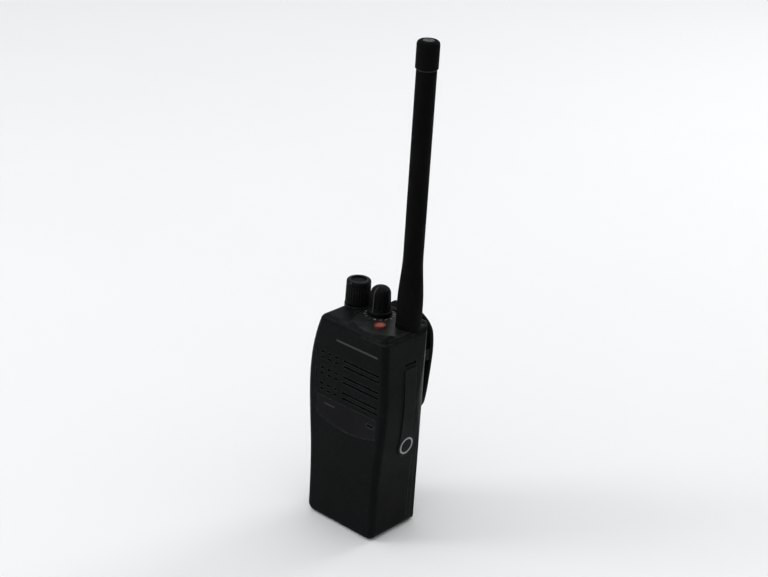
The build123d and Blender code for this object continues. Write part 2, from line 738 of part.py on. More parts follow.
def battery_springs():
    """Spring contacts on the board that press on the battery's terminals."""
    springs = []
    for x in CONTACT_X:
        leg = box(
            x - CONTACT_HALF, x + CONTACT_HALF, BOARD_BACK_Y, CHASSIS_BACK_Y,
            CONTACT_Z - CONTACT_HALF, CONTACT_Z + CONTACT_HALF - CONTACT_BEND,
        )
        tip = box(
            x - CONTACT_HALF / 2, x + CONTACT_HALF / 2, BOARD_BACK_Y, CONTACT_TIP_Y,
            CONTACT_Z - CONTACT_HALF / 2, CONTACT_Z + CONTACT_HALF / 2,
        )
        springs.append(leg + tip)
    return group(springs)


def accessory_jacks():
    """Twin jack block: a 3.5 mm and a 2.5 mm socket, with their mouths under the cover."""
    low = PLUG_25_Z - JACK_RADIUS
    high = PLUG_35_Z + JACK_RADIUS
    body = box(JACK_X0, RAIL_X - RAIL_ROOM, BOARD_BACK_Y, JACK_Y + JACK_RADIUS, low, high)
    for z in (PLUG_35_Z, PLUG_25_Z):
        body += rod_x(JACK_Y, z, JACK_X0, JACK_X1, JACK_RADIUS)
    body -= rod_x(JACK_Y, PLUG_35_Z, JACK_X1 - PLUG_35_DEPTH, JACK_X1, PLUG_35_RADIUS)
    body -= rod_x(JACK_Y, PLUG_25_Z, JACK_X1 - PLUG_25_DEPTH, JACK_X1, PLUG_25_RADIUS)
    return body


def side_switches():
    """Tactile switches behind the three side buttons."""
    switches = []
    for button, _ in small_buttons():
        middle_z, _, flange_x = button
        plunger_x = flange_x + FLANGE_THICK + SWITCH_GAP
        body = box(
            plunger_x + PLUNGER_LENGTH, SWITCH_EDGE - BOARD_HALF,
            BOARD_FRONT_Y - SWITCH_DEPTH, BOARD_BACK_Y,
            middle_z - SWITCH_HALF, middle_z + SWITCH_HALF,
        )
        body -= box(-BOARD_HALF, BOARD_HALF, BOARD_FRONT_Y, BOARD_BACK_Y, 0, DECK_Z)
        body += rod_x(BUTTON_Y, middle_z, plunger_x, plunger_x + PLUNGER_LENGTH, PLUNGER_RADIUS)
        switches.append(body)
    return group(switches)


def top_switch():
    """Tactile switch under the round top button, on its own small bracket."""
    x, y = TOP_BUTTON
    top = TOP_FLANGE_Z - SWITCH_GAP
    x0, x1 = x - SWITCH_HALF, x + SWITCH_HALF
    front, back = y - SWITCH_HALF, y + SWITCH_HALF
    under = top - SWITCH_HEIGHT
    foot = BOARD_TOP_Z - LEG_LAP
    switch = box(x0, x1, front, back, under, top - PLUNGER_LENGTH)
    switch += rod_z(x, y, top - PLUNGER_LENGTH, top, PLUNGER_RADIUS)
    switch += box(x0, x1, front, front + LEG_THICK, foot, under)
    return switch + box(x0, x1, front, BOARD_FRONT_Y, foot, foot + LEG_THICK)


# ---- rotary controls ----
def control_bushing(x, top_z):
    """Threaded collar of a rotary control, bored for its shaft."""
    collar = rod_z(x, KNOB_Y, CONTROL_TOP_Z, top_z, BUSHING_RADIUS)
    return collar - rod_z(x, KNOB_Y, CONTROL_LOW_Z, top_z, SHAFT_RADIUS + FIT)


def volume_control():
    body = box(
        VOLUME_X - CONTROL_BOX, VOLUME_X + CONTROL_BOX, KNOB_Y - CONTROL_BOX, KNOB_Y + CONTROL_BOX,
        CONTROL_LOW_Z, CONTROL_TOP_Z,
    )
    body -= rod_z(VOLUME_X, KNOB_Y, CONTROL_LOW_Z + CONTROL_FLOOR, CONTROL_TOP_Z, SHAFT_RADIUS + FIT)
    return body + control_bushing(VOLUME_X, BOSS_TOP_Z + NUT_THICK + THREAD_PROUD)


def channel_switch():
    body = rod_z(CHANNEL_X, KNOB_Y, CONTROL_LOW_Z, CONTROL_TOP_Z, SWITCH_RADIUS)
    body -= rod_z(CHANNEL_X, KNOB_Y, CONTROL_LOW_Z + CONTROL_FLOOR, CONTROL_TOP_Z, SHAFT_RADIUS + FIT)
    return body + control_bushing(CHANNEL_X, INLAY_FLOOR_Z + SEAL_WIRE * 2 + NUT_THICK + THREAD_PROUD)


def nut_levels():
    """Where each control nut sits: (x, underside of the nut)."""
    return [(VOLUME_X, BOSS_TOP_Z), (CHANNEL_X, INLAY_FLOOR_Z + SEAL_WIRE)]


def control_nuts():
    nuts = []
    for x, low in nut_levels():
        hexagon = Pos(x, KNOB_Y) * RegularPolygon(NUT_ACROSS / 2, 6, major_radius=False)
        nut = slab_z(hexagon, low, low + NUT_THICK)
        nuts.append(nut - rod_z(x, KNOB_Y, low, low + NUT_THICK, BUSHING_RADIUS))
    return group(nuts)


def shaft(x, top_z):
    return rod_z(x, KNOB_Y, CONTROL_LOW_Z + CONTROL_FLOOR + SHAFT_END_GAP, top_z, SHAFT_RADIUS)


def knob_hollow(x, base_z, shaft_top_z):
    """Room under a knob for the control's nut, and the bore that grips the shaft."""
    room = rod_z(x, KNOB_Y, base_z, base_z + NUT_SPACE_HEIGHT, NUT_ACROSS / 2 + NUT_ROOM)
    return room + rod_z(x, KNOB_Y, base_z, shaft_top_z, SHAFT_RADIUS)


def volume_shaft_top():
    return VOLUME_TOP_Z - VOLUME_CROWN


def channel_shaft_top():
    return CHANNEL_TOP_Z - CHANNEL_CROWN


def volume_knob():
    """Short round knob with a dished top."""
    base, top, radius = VOLUME_BASE_Z, VOLUME_TOP_Z, VOLUME_RADIUS
    rim = [(radius - inward, top - down) for inward, down in VOLUME_RIM]
    knob = turned([(0, base), (radius, base), *rim, (0, top - VOLUME_DISH)], VOLUME_X, KNOB_Y)
    knob -= knob_hollow(VOLUME_X, base, volume_shaft_top())
    pointer = box(
        VOLUME_X - VOLUME_MARK, VOLUME_X + VOLUME_MARK,
        KNOB_Y - radius - OVERCUT, KNOB_Y - radius + VOLUME_MARK,
        base + VOLUME_MARK_RISE, top + OVERCUT,
    )
    return knob - pointer


def channel_knob():
    """Tall tapered knob with a collar, a domed top and fluted sides."""
    base, top, radius, waist = CHANNEL_BASE_Z, CHANNEL_TOP_Z, CHANNEL_RADIUS, CHANNEL_WAIST
    collar = base + CHANNEL_COLLAR
    shoulder = (waist - CHANNEL_TAPER, top - CHANNEL_DOME)
    dome = Spline(shoulder, (0, top), tangents=[(0, 1), (-1, 0)])
    side = Polyline(
        (0, top), (0, base), (radius, base), (radius, collar - CHANNEL_STEP),
        (radius - CHANNEL_STEP, collar), (waist + CHANNEL_TAPER, collar + CHANNEL_STEP), shoulder,
    )
    knob = Pos(CHANNEL_X, KNOB_Y, 0) * revolve(Plane.XZ * make_face([dome, side]), Axis.Z)
    knob -= knob_hollow(CHANNEL_X, base, channel_shaft_top())
    for index in range(FLUTES):
        angle = 2 * math.pi * (index + 0.5) / FLUTES
        reach = waist + FLUTE_SET
        x = CHANNEL_X + reach * math.cos(angle)
        y = KNOB_Y + reach * math.sin(angle)
        knob -= rod_z(x, y, collar + 2 * CHANNEL_STEP, top, FLUTE_RADIUS)
    return knob


# ---- antenna ----
def antenna_socket():
    socket = rod_z(ANTENNA_X, ANTENNA_Y, SOCKET_LOW_Z, SOCKET_TOP_Z, SOCKET_RADIUS)
    return socket - rod_z(ANTENNA_X, ANTENNA_Y, SOCKET_FLOOR_Z, SOCKET_TOP_Z, STUD_RADIUS + FIT)


def antenna_sheath():
    """Rubber sheath: a wide base that narrows into the rod."""
    base, top = ANTENNA_BASE_Z, ANTENNA_TOP_Z - CAP_LENGTH
    wide, thin = ANTENNA_BASE_RADIUS, ANTENNA_ROD_RADIUS
    flare = Spline(
        (wide, ANTENNA_FLARE_LOW_Z), (thin, ANTENNA_FLARE_TOP_Z),
        tangents=[(0, 1), (0, 1)],
    )
    rest = Polyline(
        (thin, ANTENNA_FLARE_TOP_Z), (thin, top), (0, top), (0, base), (wide, base),
        (wide, ANTENNA_FLARE_LOW_Z),
    )
    sheath = Pos(ANTENNA_X, ANTENNA_Y, 0) * revolve(Plane.XZ * make_face([flare, rest]), Axis.Z)
    sheath -= rod_z(ANTENNA_X, ANTENNA_Y, base, STUD_TOP_Z, STUD_RADIUS)
    return sheath - rod_z(ANTENNA_X, ANTENNA_Y, STUD_TOP_Z, top, CORE_RADIUS)


def antenna_core():
    """The wound radiating element, potted as one rod."""
    return rod_z(ANTENNA_X, ANTENNA_Y, STUD_TOP_Z, ANTENNA_TOP_Z - CAP_LENGTH, CORE_RADIUS)


def antenna_cap():
    """Thicker moulded tip with a rounded, slightly dished top, above a thin groove."""
    low = ANTENNA_TOP_Z - CAP_LENGTH
    top, radius = ANTENNA_TOP_Z, CAP_RADIUS
    neck = ANTENNA_ROD_RADIUS - CAP_GROOVE
    inward, rise = CAP_SHOULDER
    rim = [(radius - step, top - down) for step, down in CAP_RIM]
    return turned([
        (0, low), (neck, low), (neck, low + CAP_GROOVE), (radius - inward, low + CAP_GROOVE),
        (radius, low + rise), *rim, (0, top - CAP_DISH),
    ], ANTENNA_X, ANTENNA_Y)


def antenna_stud():
    return rod_z(ANTENNA_X, ANTENNA_Y, STUD_LOW_Z, STUD_TOP_Z, STUD_RADIUS)


# ---- buttons ----
def top_button():
    """Round push button on the deck, with a flange that keeps it captive."""
    x, y = TOP_BUTTON
    cap = rod_z(x, y, TOP_FLANGE_Z, TOP_BUTTON_Z, TOP_BUTTON_RADIUS)
    cap = fillet(cap.edges().sort_by(Axis.Z)[-1], TOP_BUTTON_ROUND)
    flange_top = TOP_FLANGE_Z + TOP_FLANGE_THICK
    return cap + rod_z(x, y, TOP_FLANGE_Z, flange_top, TOP_BUTTON_RADIUS + TOP_FLANGE)


def side_button(button, width):
    """Side button: a cap that stands proud of the wall and a flange behind it."""
    flange_x = button[2]
    proud = slab_y(body_outline(-BUTTON_PROUD), FRONT_Y, BACK_Y)
    cap = slab_x(button_outline(button, width, 0), -FAR, flange_x + FLANGE_THICK) & proud
    flange = slab_x(button_outline(button, width, FLANGE_LIP), flange_x, flange_x + FLANGE_THICK)
    return cap + flange


# ---- accessory cover ----
def cover_pin_rod():
    reach = COVER_HALF + PIN_REACH
    return rod_y(COVER_PIN_X, COVER_PIN_Z, COVER_Y - reach, COVER_Y + reach, PIN_RADIUS)


def accessory_cover():
    """Hinged dust cover over the jacks: a strip from the hinge down to a thumb disc."""
    outer = slab_y(body_outline(-COVER_PROUD), FRONT_Y, BACK_Y)
    inner = slab_y(body_outline(COVER_SEAT), FRONT_Y, BACK_Y)
    cover = slab_x(cover_outline(0, COVER_PIN_Z - COVER_STEP), 0, FAR) & outer
    cover -= inner
    barrel = rod_y(COVER_PIN_X, COVER_PIN_Z, COVER_Y - COVER_HALF, COVER_Y + COVER_HALF, BARREL_RADIUS)
    cover += barrel
    bore = rod_y(COVER_PIN_X, COVER_PIN_Z, COVER_Y - FAR, COVER_Y + FAR, PIN_RADIUS + FIT)
    emblem_room = slab_x(emblem_outline(), 0, FAR) - slab_y(body_outline(0), FRONT_Y, BACK_Y)
    return cover - bore - emblem_room


def emblem_outline():
    ring = Circle(EMBLEM_RADIUS) - Circle(EMBLEM_RADIUS - EMBLEM_RIM)
    return Pos(DISC_Y, COVER_LOW_Z) * ring


def cover_emblem():
    """Plain ring let into the thumb disc."""
    proud = slab_y(body_outline(-COVER_PROUD - 0.1), FRONT_Y, BACK_Y)
    surface = slab_y(body_outline(0), FRONT_Y, BACK_Y)
    return (slab_x(emblem_outline(), 0, FAR) & proud) - surface


# ---- battery ----
def battery_block():
    """Outer shape of the battery: a rear cover and a block that nests in the radio."""
    rear = body_block(0) & box(-FAR, FAR, BATTERY_Y, FAR, BATTERY_LOW_Z, BATTERY_TOP_Z)
    return rear + box(-BLOCK_HALF, BLOCK_HALF, BLOCK_FRONT_Y, BATTERY_Y + LAP, BLOCK_LOW_Z, BLOCK_TOP_Z)


def battery_room():
    """The space inside the battery for its cells and its protection board."""
    half = CELL_PITCH + CELL_RADIUS + CELL_SLACK
    front, back = CELL_Y - CELL_RADIUS, CELL_Y + CELL_RADIUS
    top = CELL_LOW_Z + 2 * CELL_LENGTH + CELL_GAP
    room = box(-half, half, front, back, CELL_LOW_Z, top)
    room = fillet(room.edges().filter_by(Axis.Z).sort_by(Axis.Y)[-2:], ROOM_RADIUS)
    return room + box(-POCKET_HALF, POCKET_HALF, POCKET_FRONT_Y, back, POCKET_LOW_Z, CELL_LOW_Z)


def battery_case():
    """Front half of the battery: the nesting block with its tongues and latch slot."""
    case = battery_block() & box(-FAR, FAR, 0, SPLIT_Y, 0, BATTERY_TOP_Z)
    case += box(-BLOCK_HALF, BLOCK_HALF, BAY_Y + FIT, BATTERY_Y + LAP, LATCH_TOP_Z, BLOCK_LOW_Z + LAP)
    for side in (-1, 1):
        x0, x1 = sorted((side * (BLOCK_HALF - LAP), side * TONGUE_X))
        for z0, z1 in TONGUES:
            case += box(x0, x1, RAIL_SLOT_Y0 + BUTTON_GAP, RAIL_SLOT_Y1 - BUTTON_GAP, z0, z1)
    slot_top = BLOCK_LOW_Z - LAP
    slot_half = TONGUE_HALF + LATCH_ROOM
    case -= box(-slot_half, slot_half, 0, LATCH_TONGUE_Y + LATCH_ROOM, LATCH_LOW_Z - LATCH_ROOM, slot_top)
    for x in CONTACT_X:
        case -= terminal(x)
    return case - battery_room()


def terminal(x):
    return box(
        x - CONTACT_HALF, x + CONTACT_HALF, BLOCK_FRONT_Y, BLOCK_FRONT_Y + TERMINAL_THICK,
        CONTACT_Z - TERMINAL_HALF, CONTACT_Z + TERMINAL_HALF,
    )


def battery_terminals():
    return group([terminal(x) for x in CONTACT_X])


def battery_cover():
    """Rear half of the battery."""
    cover = battery_block() & box(-FAR, FAR, SPLIT_Y, FAR, 0, BATTERY_TOP_Z)
    for x in PAD_X:
        cover -= rod_y(x, PAD_Z, BACK_Y - PAD_DEPTH, BACK_Y + OVERCUT, PAD_RADIUS)
    return cover - battery_room()


def charging_pads():
    bottom = BACK_Y - PAD_DEPTH
    return group([rod_y(x, PAD_Z, bottom, BACK_Y - PAD_SUNK, PAD_RADIUS) for x in PAD_X])


def battery_cells():
    """Six cells, three across and two high."""
    cells = []
    for column in (-1, 0, 1):
        for row in (0, 1):
            low = CELL_LOW_Z + row * (CELL_LENGTH + CELL_GAP)
            cells.append(rod_z(column * CELL_PITCH, CELL_Y, low, low + CELL_LENGTH, CELL_RADIUS))
    return group(cells)


def cell_links():
    """Nickel strips between the stacked cells."""
    low = CELL_LOW_Z + CELL_LENGTH
    strips = []
    for column in (-1, 0, 1):
        x = column * CELL_PITCH
        strips.append(box(
            x - LINK_HALF, x + LINK_HALF, CELL_Y - LINK_HALF, CELL_Y + LINK_HALF, low, low + CELL_GAP,
        ))
    return group(strips)


def protection_board():
    back = GUARD_FRONT_Y + GUARD_THICK
    return box(-GUARD_HALF, GUARD_HALF, GUARD_FRONT_Y, back, POCKET_LOW_Z, CELL_LOW_Z - LAP)


def battery_label():
    """Blank label on the back of the battery."""
    return box(-RATING_HALF, RATING_HALF, BACK_Y, BACK_Y + LABEL_THICK, RATING_LOW_Z, RATING_TOP_Z)


# ---- battery latch ----
def battery_latch():
    """Sliding latch in the foot, with a thumb tab below and a tongue that enters the battery."""
    latch = box(-LATCH_HALF, LATCH_HALF, LATCH_FRONT_Y, LATCH_BACK_Y, LATCH_LOW_Z, LATCH_TOP_Z)
    latch += box(-TONGUE_HALF, TONGUE_HALF, LATCH_BACK_Y - LAP, LATCH_TONGUE_Y, LATCH_LOW_Z, LATCH_TOP_Z)
    latch += box(-THUMB_HALF, THUMB_HALF, THUMB_Y0, THUMB_Y1, THUMB_LOW_Z, LATCH_TOP_Z)
    for rib in range(RIB_COUNT):
        y = THUMB_Y0 + RIB_START + rib * RIB_PITCH
        latch -= box(-THUMB_HALF, THUMB_HALF, y, y + RIB_CUT, THUMB_LOW_Z, THUMB_LOW_Z + RIB_CUT)
    return latch


def latch_springs():
    middle = (LATCH_LOW_Z + LATCH_TOP_Z) / 2
    springs = []
    for side in (-1, 1):
        x = side * LATCH_SPRING_X
        coil = rod_y(x, middle, LATCH_SPRING_Y, LATCH_FRONT_Y, LATCH_SPRING_RADIUS)
        springs.append(coil - rod_y(x, middle, LATCH_SPRING_Y, LATCH_FRONT_Y, LATCH_SPRING_RADIUS / 2))
    return group(springs)


# ---- belt clip ----
def clip_bracket():
    """Plate screwed to the battery, with two lugs for the clip's hinge pin."""
    back = BACK_Y + BRACKET_THICK
    bracket = box(-BRACKET_HALF, BRACKET_HALF, BACK_Y, back, BRACKET_LOW_Z, BRACKET_TOP_Z)
    for side in (-1, 1):
        x0, x1 = sorted((side * LUG_X0, side * LUG_X1))
        bracket += box(x0, x1, BACK_Y, CLIP_PIN_Y, CLIP_PIN_Z - LUG_RADIUS, CLIP_PIN_Z + LUG_RADIUS)
        bracket += rod_x(CLIP_PIN_Y, CLIP_PIN_Z, x0, x1, LUG_RADIUS)
    return bracket - clip_pin()


def clip_pin():
    return rod_x(CLIP_PIN_Y, CLIP_PIN_Z, -CHEEK_X1, CHEEK_X1, CLIP_PIN_RADIUS)


def clip_spring():
    """Torsion spring round the pin, with a leg against the bracket."""
    coil = rod_x(CLIP_PIN_Y, CLIP_PIN_Z, -SPRING_HALF, SPRING_HALF, SPRING_COIL)
    for turn in range(SPRING_TURNS):
        x0 = -SPRING_HALF + SPRING_START + turn * SPRING_PITCH
        x1 = x0 + SPRING_GROOVE
        ring = rod_x(CLIP_PIN_Y, CLIP_PIN_Z, x0, x1, SPRING_COIL)
        coil -= ring - rod_x(CLIP_PIN_Y, CLIP_PIN_Z, x0, x1, SPRING_COIL - SPRING_WIRE / 2)
    leg_y = BACK_Y + BRACKET_THICK
    leg_x = SPRING_WIRE - SPRING_HALF
    coil += box(-SPRING_HALF, leg_x, leg_y, leg_y + SPRING_WIRE, CLIP_PIN_Z - SPRING_LEG, CLIP_PIN_Z)
    coil += box(-SPRING_HALF, leg_x, leg_y, CLIP_PIN_Y, CLIP_PIN_Z - SPRING_WIRE, CLIP_PIN_Z)
    return coil - clip_pin()


def clip_lever():
    """Sprung lever: a thumb end above the pin and a belt jaw below it."""
    outer = Spline(*CLIP_OUTER)
    inner = Spline(*CLIP_INNER)
    top = Line(inner @ 0, outer @ 0)
    tip = Polyline(outer @ 1, CLIP_TIP, inner @ 1)
    lever = slab_x(make_face([outer, tip, inner, top]), -CLIP_HALF, CLIP_HALF)
    plate = Pos(0, CLIP_MIDDLE_Z) * Rectangle(2 * CLIP_HALF, CLIP_HEIGHT)
    plate = fillet(plate.vertices().sort_by(Axis.Y)[-2:], CLIP_TOP_CORNER)
    plate = fillet(plate.vertices().sort_by(Axis.Y)[:2], CLIP_CORNER)
    lever &= slab_y(plate, 0, FAR)
    for side in (-1, 1):
        x0, x1 = sorted((side * CHEEK_X0, side * CHEEK_X1))
        lever += box(
            x0, x1, CLIP_PIN_Y, CHEEK_BACK_Y, CLIP_PIN_Z - LUG_RADIUS, CLIP_PIN_Z + LUG_RADIUS,
        )
        lever += rod_x(CLIP_PIN_Y, CLIP_PIN_Z, x0, x1, LUG_RADIUS)
    return lever - rod_x(CLIP_PIN_Y, CLIP_PIN_Z, -FAR, FAR, CLIP_PIN_RADIUS + FIT)


NODES = {
    "front_housing": front_housing,
    "front_label": front_label,
    "deck_inlay": deck_inlay,
    "status_lamp": status_lamp,
    "grille_felt": grille_felt,
    "speaker_frame": speaker_frame,
    "speaker_cone": speaker_cone,
    "speaker_magnet": speaker_magnet,
    "speaker_strap": speaker_strap,
    "microphone_capsule": microphone_capsule,
    "microphone_boot": microphone_boot,
    "main_board": main_board,
    "shield_cans": shield_cans,
    "chassis": chassis,
    "chassis_screws": chassis_screws,
    "battery_springs": battery_springs,
    "accessory_jacks": accessory_jacks,
    "side_switches": side_switches,
    "top_switch": top_switch,
    "volume_control": volume_control,
    "channel_switch": channel_switch,
    "control_nuts": control_nuts,
    "volume_shaft": lambda: shaft(VOLUME_X, volume_shaft_top()),
    "volume_knob": volume_knob,
    "channel_shaft": lambda: shaft(CHANNEL_X, channel_shaft_top()),
    "channel_knob": channel_knob,
    "antenna_socket": antenna_socket,
    "antenna_sheath": antenna_sheath,
    "antenna_core": antenna_core,
    "antenna_cap": antenna_cap,
    "antenna_stud": antenna_stud,
    "top_button": top_button,
    "ptt_button": lambda: side_button(PTT, PTT_WIDTH),
    "upper_side_button": lambda: side_button(UPPER_BUTTON, SMALL_WIDTH),
    "lower_side_button": lambda: side_button(LOWER_BUTTON, SMALL_WIDTH),
    "cover_pin": cover_pin_rod,
    "accessory_cover": accessory_cover,
    "cover_emblem": cover_emblem,
    "battery_case": battery_case,
    "battery_cover": battery_cover,
    "battery_cells": battery_cells,
    "cell_links": cell_links,
    "protection_board": protection_board,
    "battery_terminals": battery_terminals,
    "charging_pads": charging_pads,
    "battery_label": battery_label,
    "battery_latch": battery_latch,
    "latch_springs": latch_springs,
    "clip_bracket": clip_bracket,
    "clip_pin": clip_pin,
    "clip_spring": clip_spring,
    "clip_lever": clip_lever,
}

os.makedirs("parts", exist_ok=True)
for name, make in NODES.items():
    export_step(make(), os.path.join("parts", name + ".step"))
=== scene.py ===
"""Looks of the handheld two way radio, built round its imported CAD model.

Pieces are drawn in millimetres and turned to metres by MM. Lights, floor and camera are in metres.
"""

import json
import math

import bmesh
import bpy
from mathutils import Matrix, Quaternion, Vector

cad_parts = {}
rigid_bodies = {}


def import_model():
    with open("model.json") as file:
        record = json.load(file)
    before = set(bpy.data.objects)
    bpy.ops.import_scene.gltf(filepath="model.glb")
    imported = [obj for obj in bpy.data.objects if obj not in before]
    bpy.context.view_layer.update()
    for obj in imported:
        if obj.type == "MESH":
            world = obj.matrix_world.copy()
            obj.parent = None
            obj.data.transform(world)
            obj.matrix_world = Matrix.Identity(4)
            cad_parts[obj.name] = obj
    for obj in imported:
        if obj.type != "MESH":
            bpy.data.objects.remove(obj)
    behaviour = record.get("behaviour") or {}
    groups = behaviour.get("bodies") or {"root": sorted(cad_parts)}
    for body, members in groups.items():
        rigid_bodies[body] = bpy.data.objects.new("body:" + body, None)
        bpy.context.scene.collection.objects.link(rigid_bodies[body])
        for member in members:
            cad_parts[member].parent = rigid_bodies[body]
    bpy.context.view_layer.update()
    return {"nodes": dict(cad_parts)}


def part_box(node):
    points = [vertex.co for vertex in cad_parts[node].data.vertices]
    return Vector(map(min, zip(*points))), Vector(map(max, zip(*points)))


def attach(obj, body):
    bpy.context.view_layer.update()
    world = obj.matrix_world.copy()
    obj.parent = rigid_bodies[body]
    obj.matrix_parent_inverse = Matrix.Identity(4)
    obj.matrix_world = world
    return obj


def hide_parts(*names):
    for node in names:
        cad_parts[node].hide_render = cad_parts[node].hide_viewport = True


for leftover in list(bpy.data.objects):
    bpy.data.objects.remove(leftover)
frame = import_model()
NODES = frame["nodes"]
MM = 0.001
SHARP = math.radians(32)


# ---- where things are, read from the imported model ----
def middle(node):
    first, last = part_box(node)
    return (first + last) / 2 / MM


def low(node):
    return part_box(node)[0] / MM


def high(node):
    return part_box(node)[1] / MM


VOLUME = middle("volume_knob")
CHANNEL = middle("channel_knob")
ANTENNA = middle("antenna_sheath")
BUTTON = middle("top_button")
DECK_TOP = high("deck_inlay").z
FRONT = low("front_housing").y


def surface(node, start, along):
    """Where a ray from start, in direction along, meets a CAD node's surface, in mm; None if it misses."""
    hit, place, _, _ = NODES[node].ray_cast(Vector(start) * MM, Vector(along))
    return place / MM if hit else None


# ---- materials ----
class Look:
    """One node material, with short calls for the nodes that these materials share."""

    def __init__(self, name, rough=0.5, metal=0.0, gloss=0.5):
        self.material = bpy.data.materials.new(name)
        self.material.use_nodes = True
        self.tree = self.material.node_tree
        self.shader = self.tree.nodes["Principled BSDF"]
        self.place = self.node("ShaderNodeTexCoord").outputs["Object"]
        self.shader.inputs["Metallic"].default_value = metal
        self.shader.inputs["Roughness"].default_value = rough
        self.shader.inputs["Specular IOR Level"].default_value = gloss

    def node(self, kind, **settings):
        made = self.tree.nodes.new(kind)
        for key, value in settings.items():
            setattr(made, key, value)
        return made

    def feed(self, socket, value):
        if isinstance(value, bpy.types.NodeSocket):
            self.tree.links.new(value, socket)
        else:
            socket.default_value = value

    def maths(self, operation, first, second=0.0):
        made = self.node("ShaderNodeMath", operation=operation)
        self.feed(made.inputs[0], first)
        self.feed(made.inputs[1], second)
        return made.outputs[0]

    def stretched(self, scale):
        """The piece's own coordinates, scaled along each axis."""
        made = self.node("ShaderNodeVectorMath", operation="MULTIPLY")
        self.feed(made.inputs[0], self.place)
        made.inputs[1].default_value = scale
        return made.outputs[0]

    def noise(self, size, detail=3.0, stretch=(1, 1, 1), rough=0.55):
        """Noise whose features are about size mm across."""
        made = self.node("ShaderNodeTexNoise")
        self.feed(made.inputs["Vector"], self.stretched(stretch))
        made.inputs["Scale"].default_value = 1 / (size * MM)
        made.inputs["Detail"].default_value = detail
        made.inputs["Roughness"].default_value = rough
        return made.outputs["Fac"]

    def bands(self, pitch, axis):
        """Straight stripes across an axis, one every pitch mm; the node's own wave repeats every tau / 20."""
        made = self.node("ShaderNodeTexWave", bands_direction=axis)
        self.feed(made.inputs["Vector"], self.place)
        made.inputs["Scale"].default_value = math.tau / 20 / (pitch * MM)
        return made.outputs["Fac"]

    def spread(self, value, a, b, to_a=0.0, to_b=1.0):
        """Maps a..b of a value to to_a..to_b, clamped, with soft ends."""
        made = self.node("ShaderNodeMapRange", interpolation_type="SMOOTHSTEP")
        self.feed(made.inputs["Value"], value)
        made.inputs["From Min"].default_value = a
        made.inputs["From Max"].default_value = b
        made.inputs["To Min"].default_value = to_a
        made.inputs["To Max"].default_value = to_b
        return made.outputs["Result"]

    def tint(self, socket, value):
        """Feeds a colour socket with a node's output or with plain red, green and blue."""
        self.feed(socket, value if isinstance(value, bpy.types.NodeSocket) else (*value, 1))

    def mix(self, share, first, second):
        """The first colour where share is 0 and the second where it is 1."""
        made = self.node("ShaderNodeMix", data_type="RGBA")
        self.feed(made.inputs["Factor"], share)
        self.tint(made.inputs[6], first)
        self.tint(made.inputs[7], second)
        return made.outputs[2]

    def edges(self, radius):
        """1 along outside and inside edges, 0 on flat ground."""
        bevel = self.node("ShaderNodeBevel", samples=4)
        bevel.inputs["Radius"].default_value = radius * MM
        plain = self.node("ShaderNodeNewGeometry").outputs["Normal"]
        dot = self.node("ShaderNodeVectorMath", operation="DOT_PRODUCT")
        self.feed(dot.inputs[0], bevel.outputs["Normal"])
        self.feed(dot.inputs[1], plain)
        return self.spread(self.maths("SUBTRACT", 1.0, dot.outputs["Value"]), 0.02, 0.25)

    def upward(self):
        """1 on surfaces that look straight up, 0 on those that lean 60 degrees or more."""
        split = self.node("ShaderNodeSeparateXYZ")
        self.feed(split.inputs[0], self.node("ShaderNodeNewGeometry").outputs["Normal"])
        return self.spread(split.outputs["Z"], 0.5, 1.0)

    def colour(self, value):
        self.tint(self.shader.inputs["Base Color"], value)

    def roughness(self, value):
        self.feed(self.shader.inputs["Roughness"], value)

    def bump(self, *layers):
        """Layers of (height, depth in mm), one on top of the other."""
        normal = None
        for height, depth in layers:
            made = self.node("ShaderNodeBump")
            made.inputs["Distance"].default_value = depth * MM
            self.feed(made.inputs["Height"], height)
            if normal is not None:
                self.feed(made.inputs["Normal"], normal)
            normal = made.outputs["Normal"]
        self.feed(self.shader.inputs["Normal"], normal)


DUST = (0.05, 0.05, 0.049)
# Colour of scuffs and grain; half again as pale, it is also the painted highlight along edges.
WEAR_AND_HIGHLIGHT = (0.032, 0.034, 0.036)
PALE_LINE = (0.07, 0.072, 0.074)


def moulded(name, dark, light, rough=(0.34, 0.5), grain=0.45, depth=0.02, wear_and_highlight=WEAR_AND_HIGHLIGHT, gloss=0.055):
    """Spark-textured moulded plastic: grain, cloudy tone, polished edges made paler for wear and as a painted
    highlight, dust and fine scuffs.
    """
    look = Look(name, gloss=gloss)
    cloud = look.spread(look.noise(26, 4), 0.35, 0.68)
    tone = look.mix(cloud, dark, light)
    grains = look.noise(grain, 2)
    tone = look.mix(look.spread(grains, 0.45, 0.8, 0, 0.35), tone, wear_and_highlight)
    scuffs = look.spread(look.noise(2.2, 5, (1, 1, 0.16), 0.7), 0.66, 0.8, 0, 0.35)
    tone = look.mix(scuffs, tone, wear_and_highlight)
    # Edge mask: edges paler for wear and as a painted highlight, and a little smoother.
    worn_and_highlit = look.maths("MULTIPLY", look.edges(0.7), look.spread(look.noise(4, 4), 0.3, 0.65, 0.35, 1.0))
    tone = look.mix(worn_and_highlit, tone, tuple(1.5 * part for part in wear_and_highlight))
    dust = look.maths("MULTIPLY", look.upward(), look.spread(look.noise(7, 6), 0.45, 0.75, 0, 0.3))
    look.colour(look.mix(dust, tone, DUST))
    smear = look.spread(look.noise(14, 5), 0.3, 0.7, *rough)
    look.roughness(look.maths("SUBTRACT", smear, look.maths("MULTIPLY", worn_and_highlit, 0.12)))
    look.bump((look.noise(grain, 2), depth), (look.noise(9, 3), 0.05))
    return look


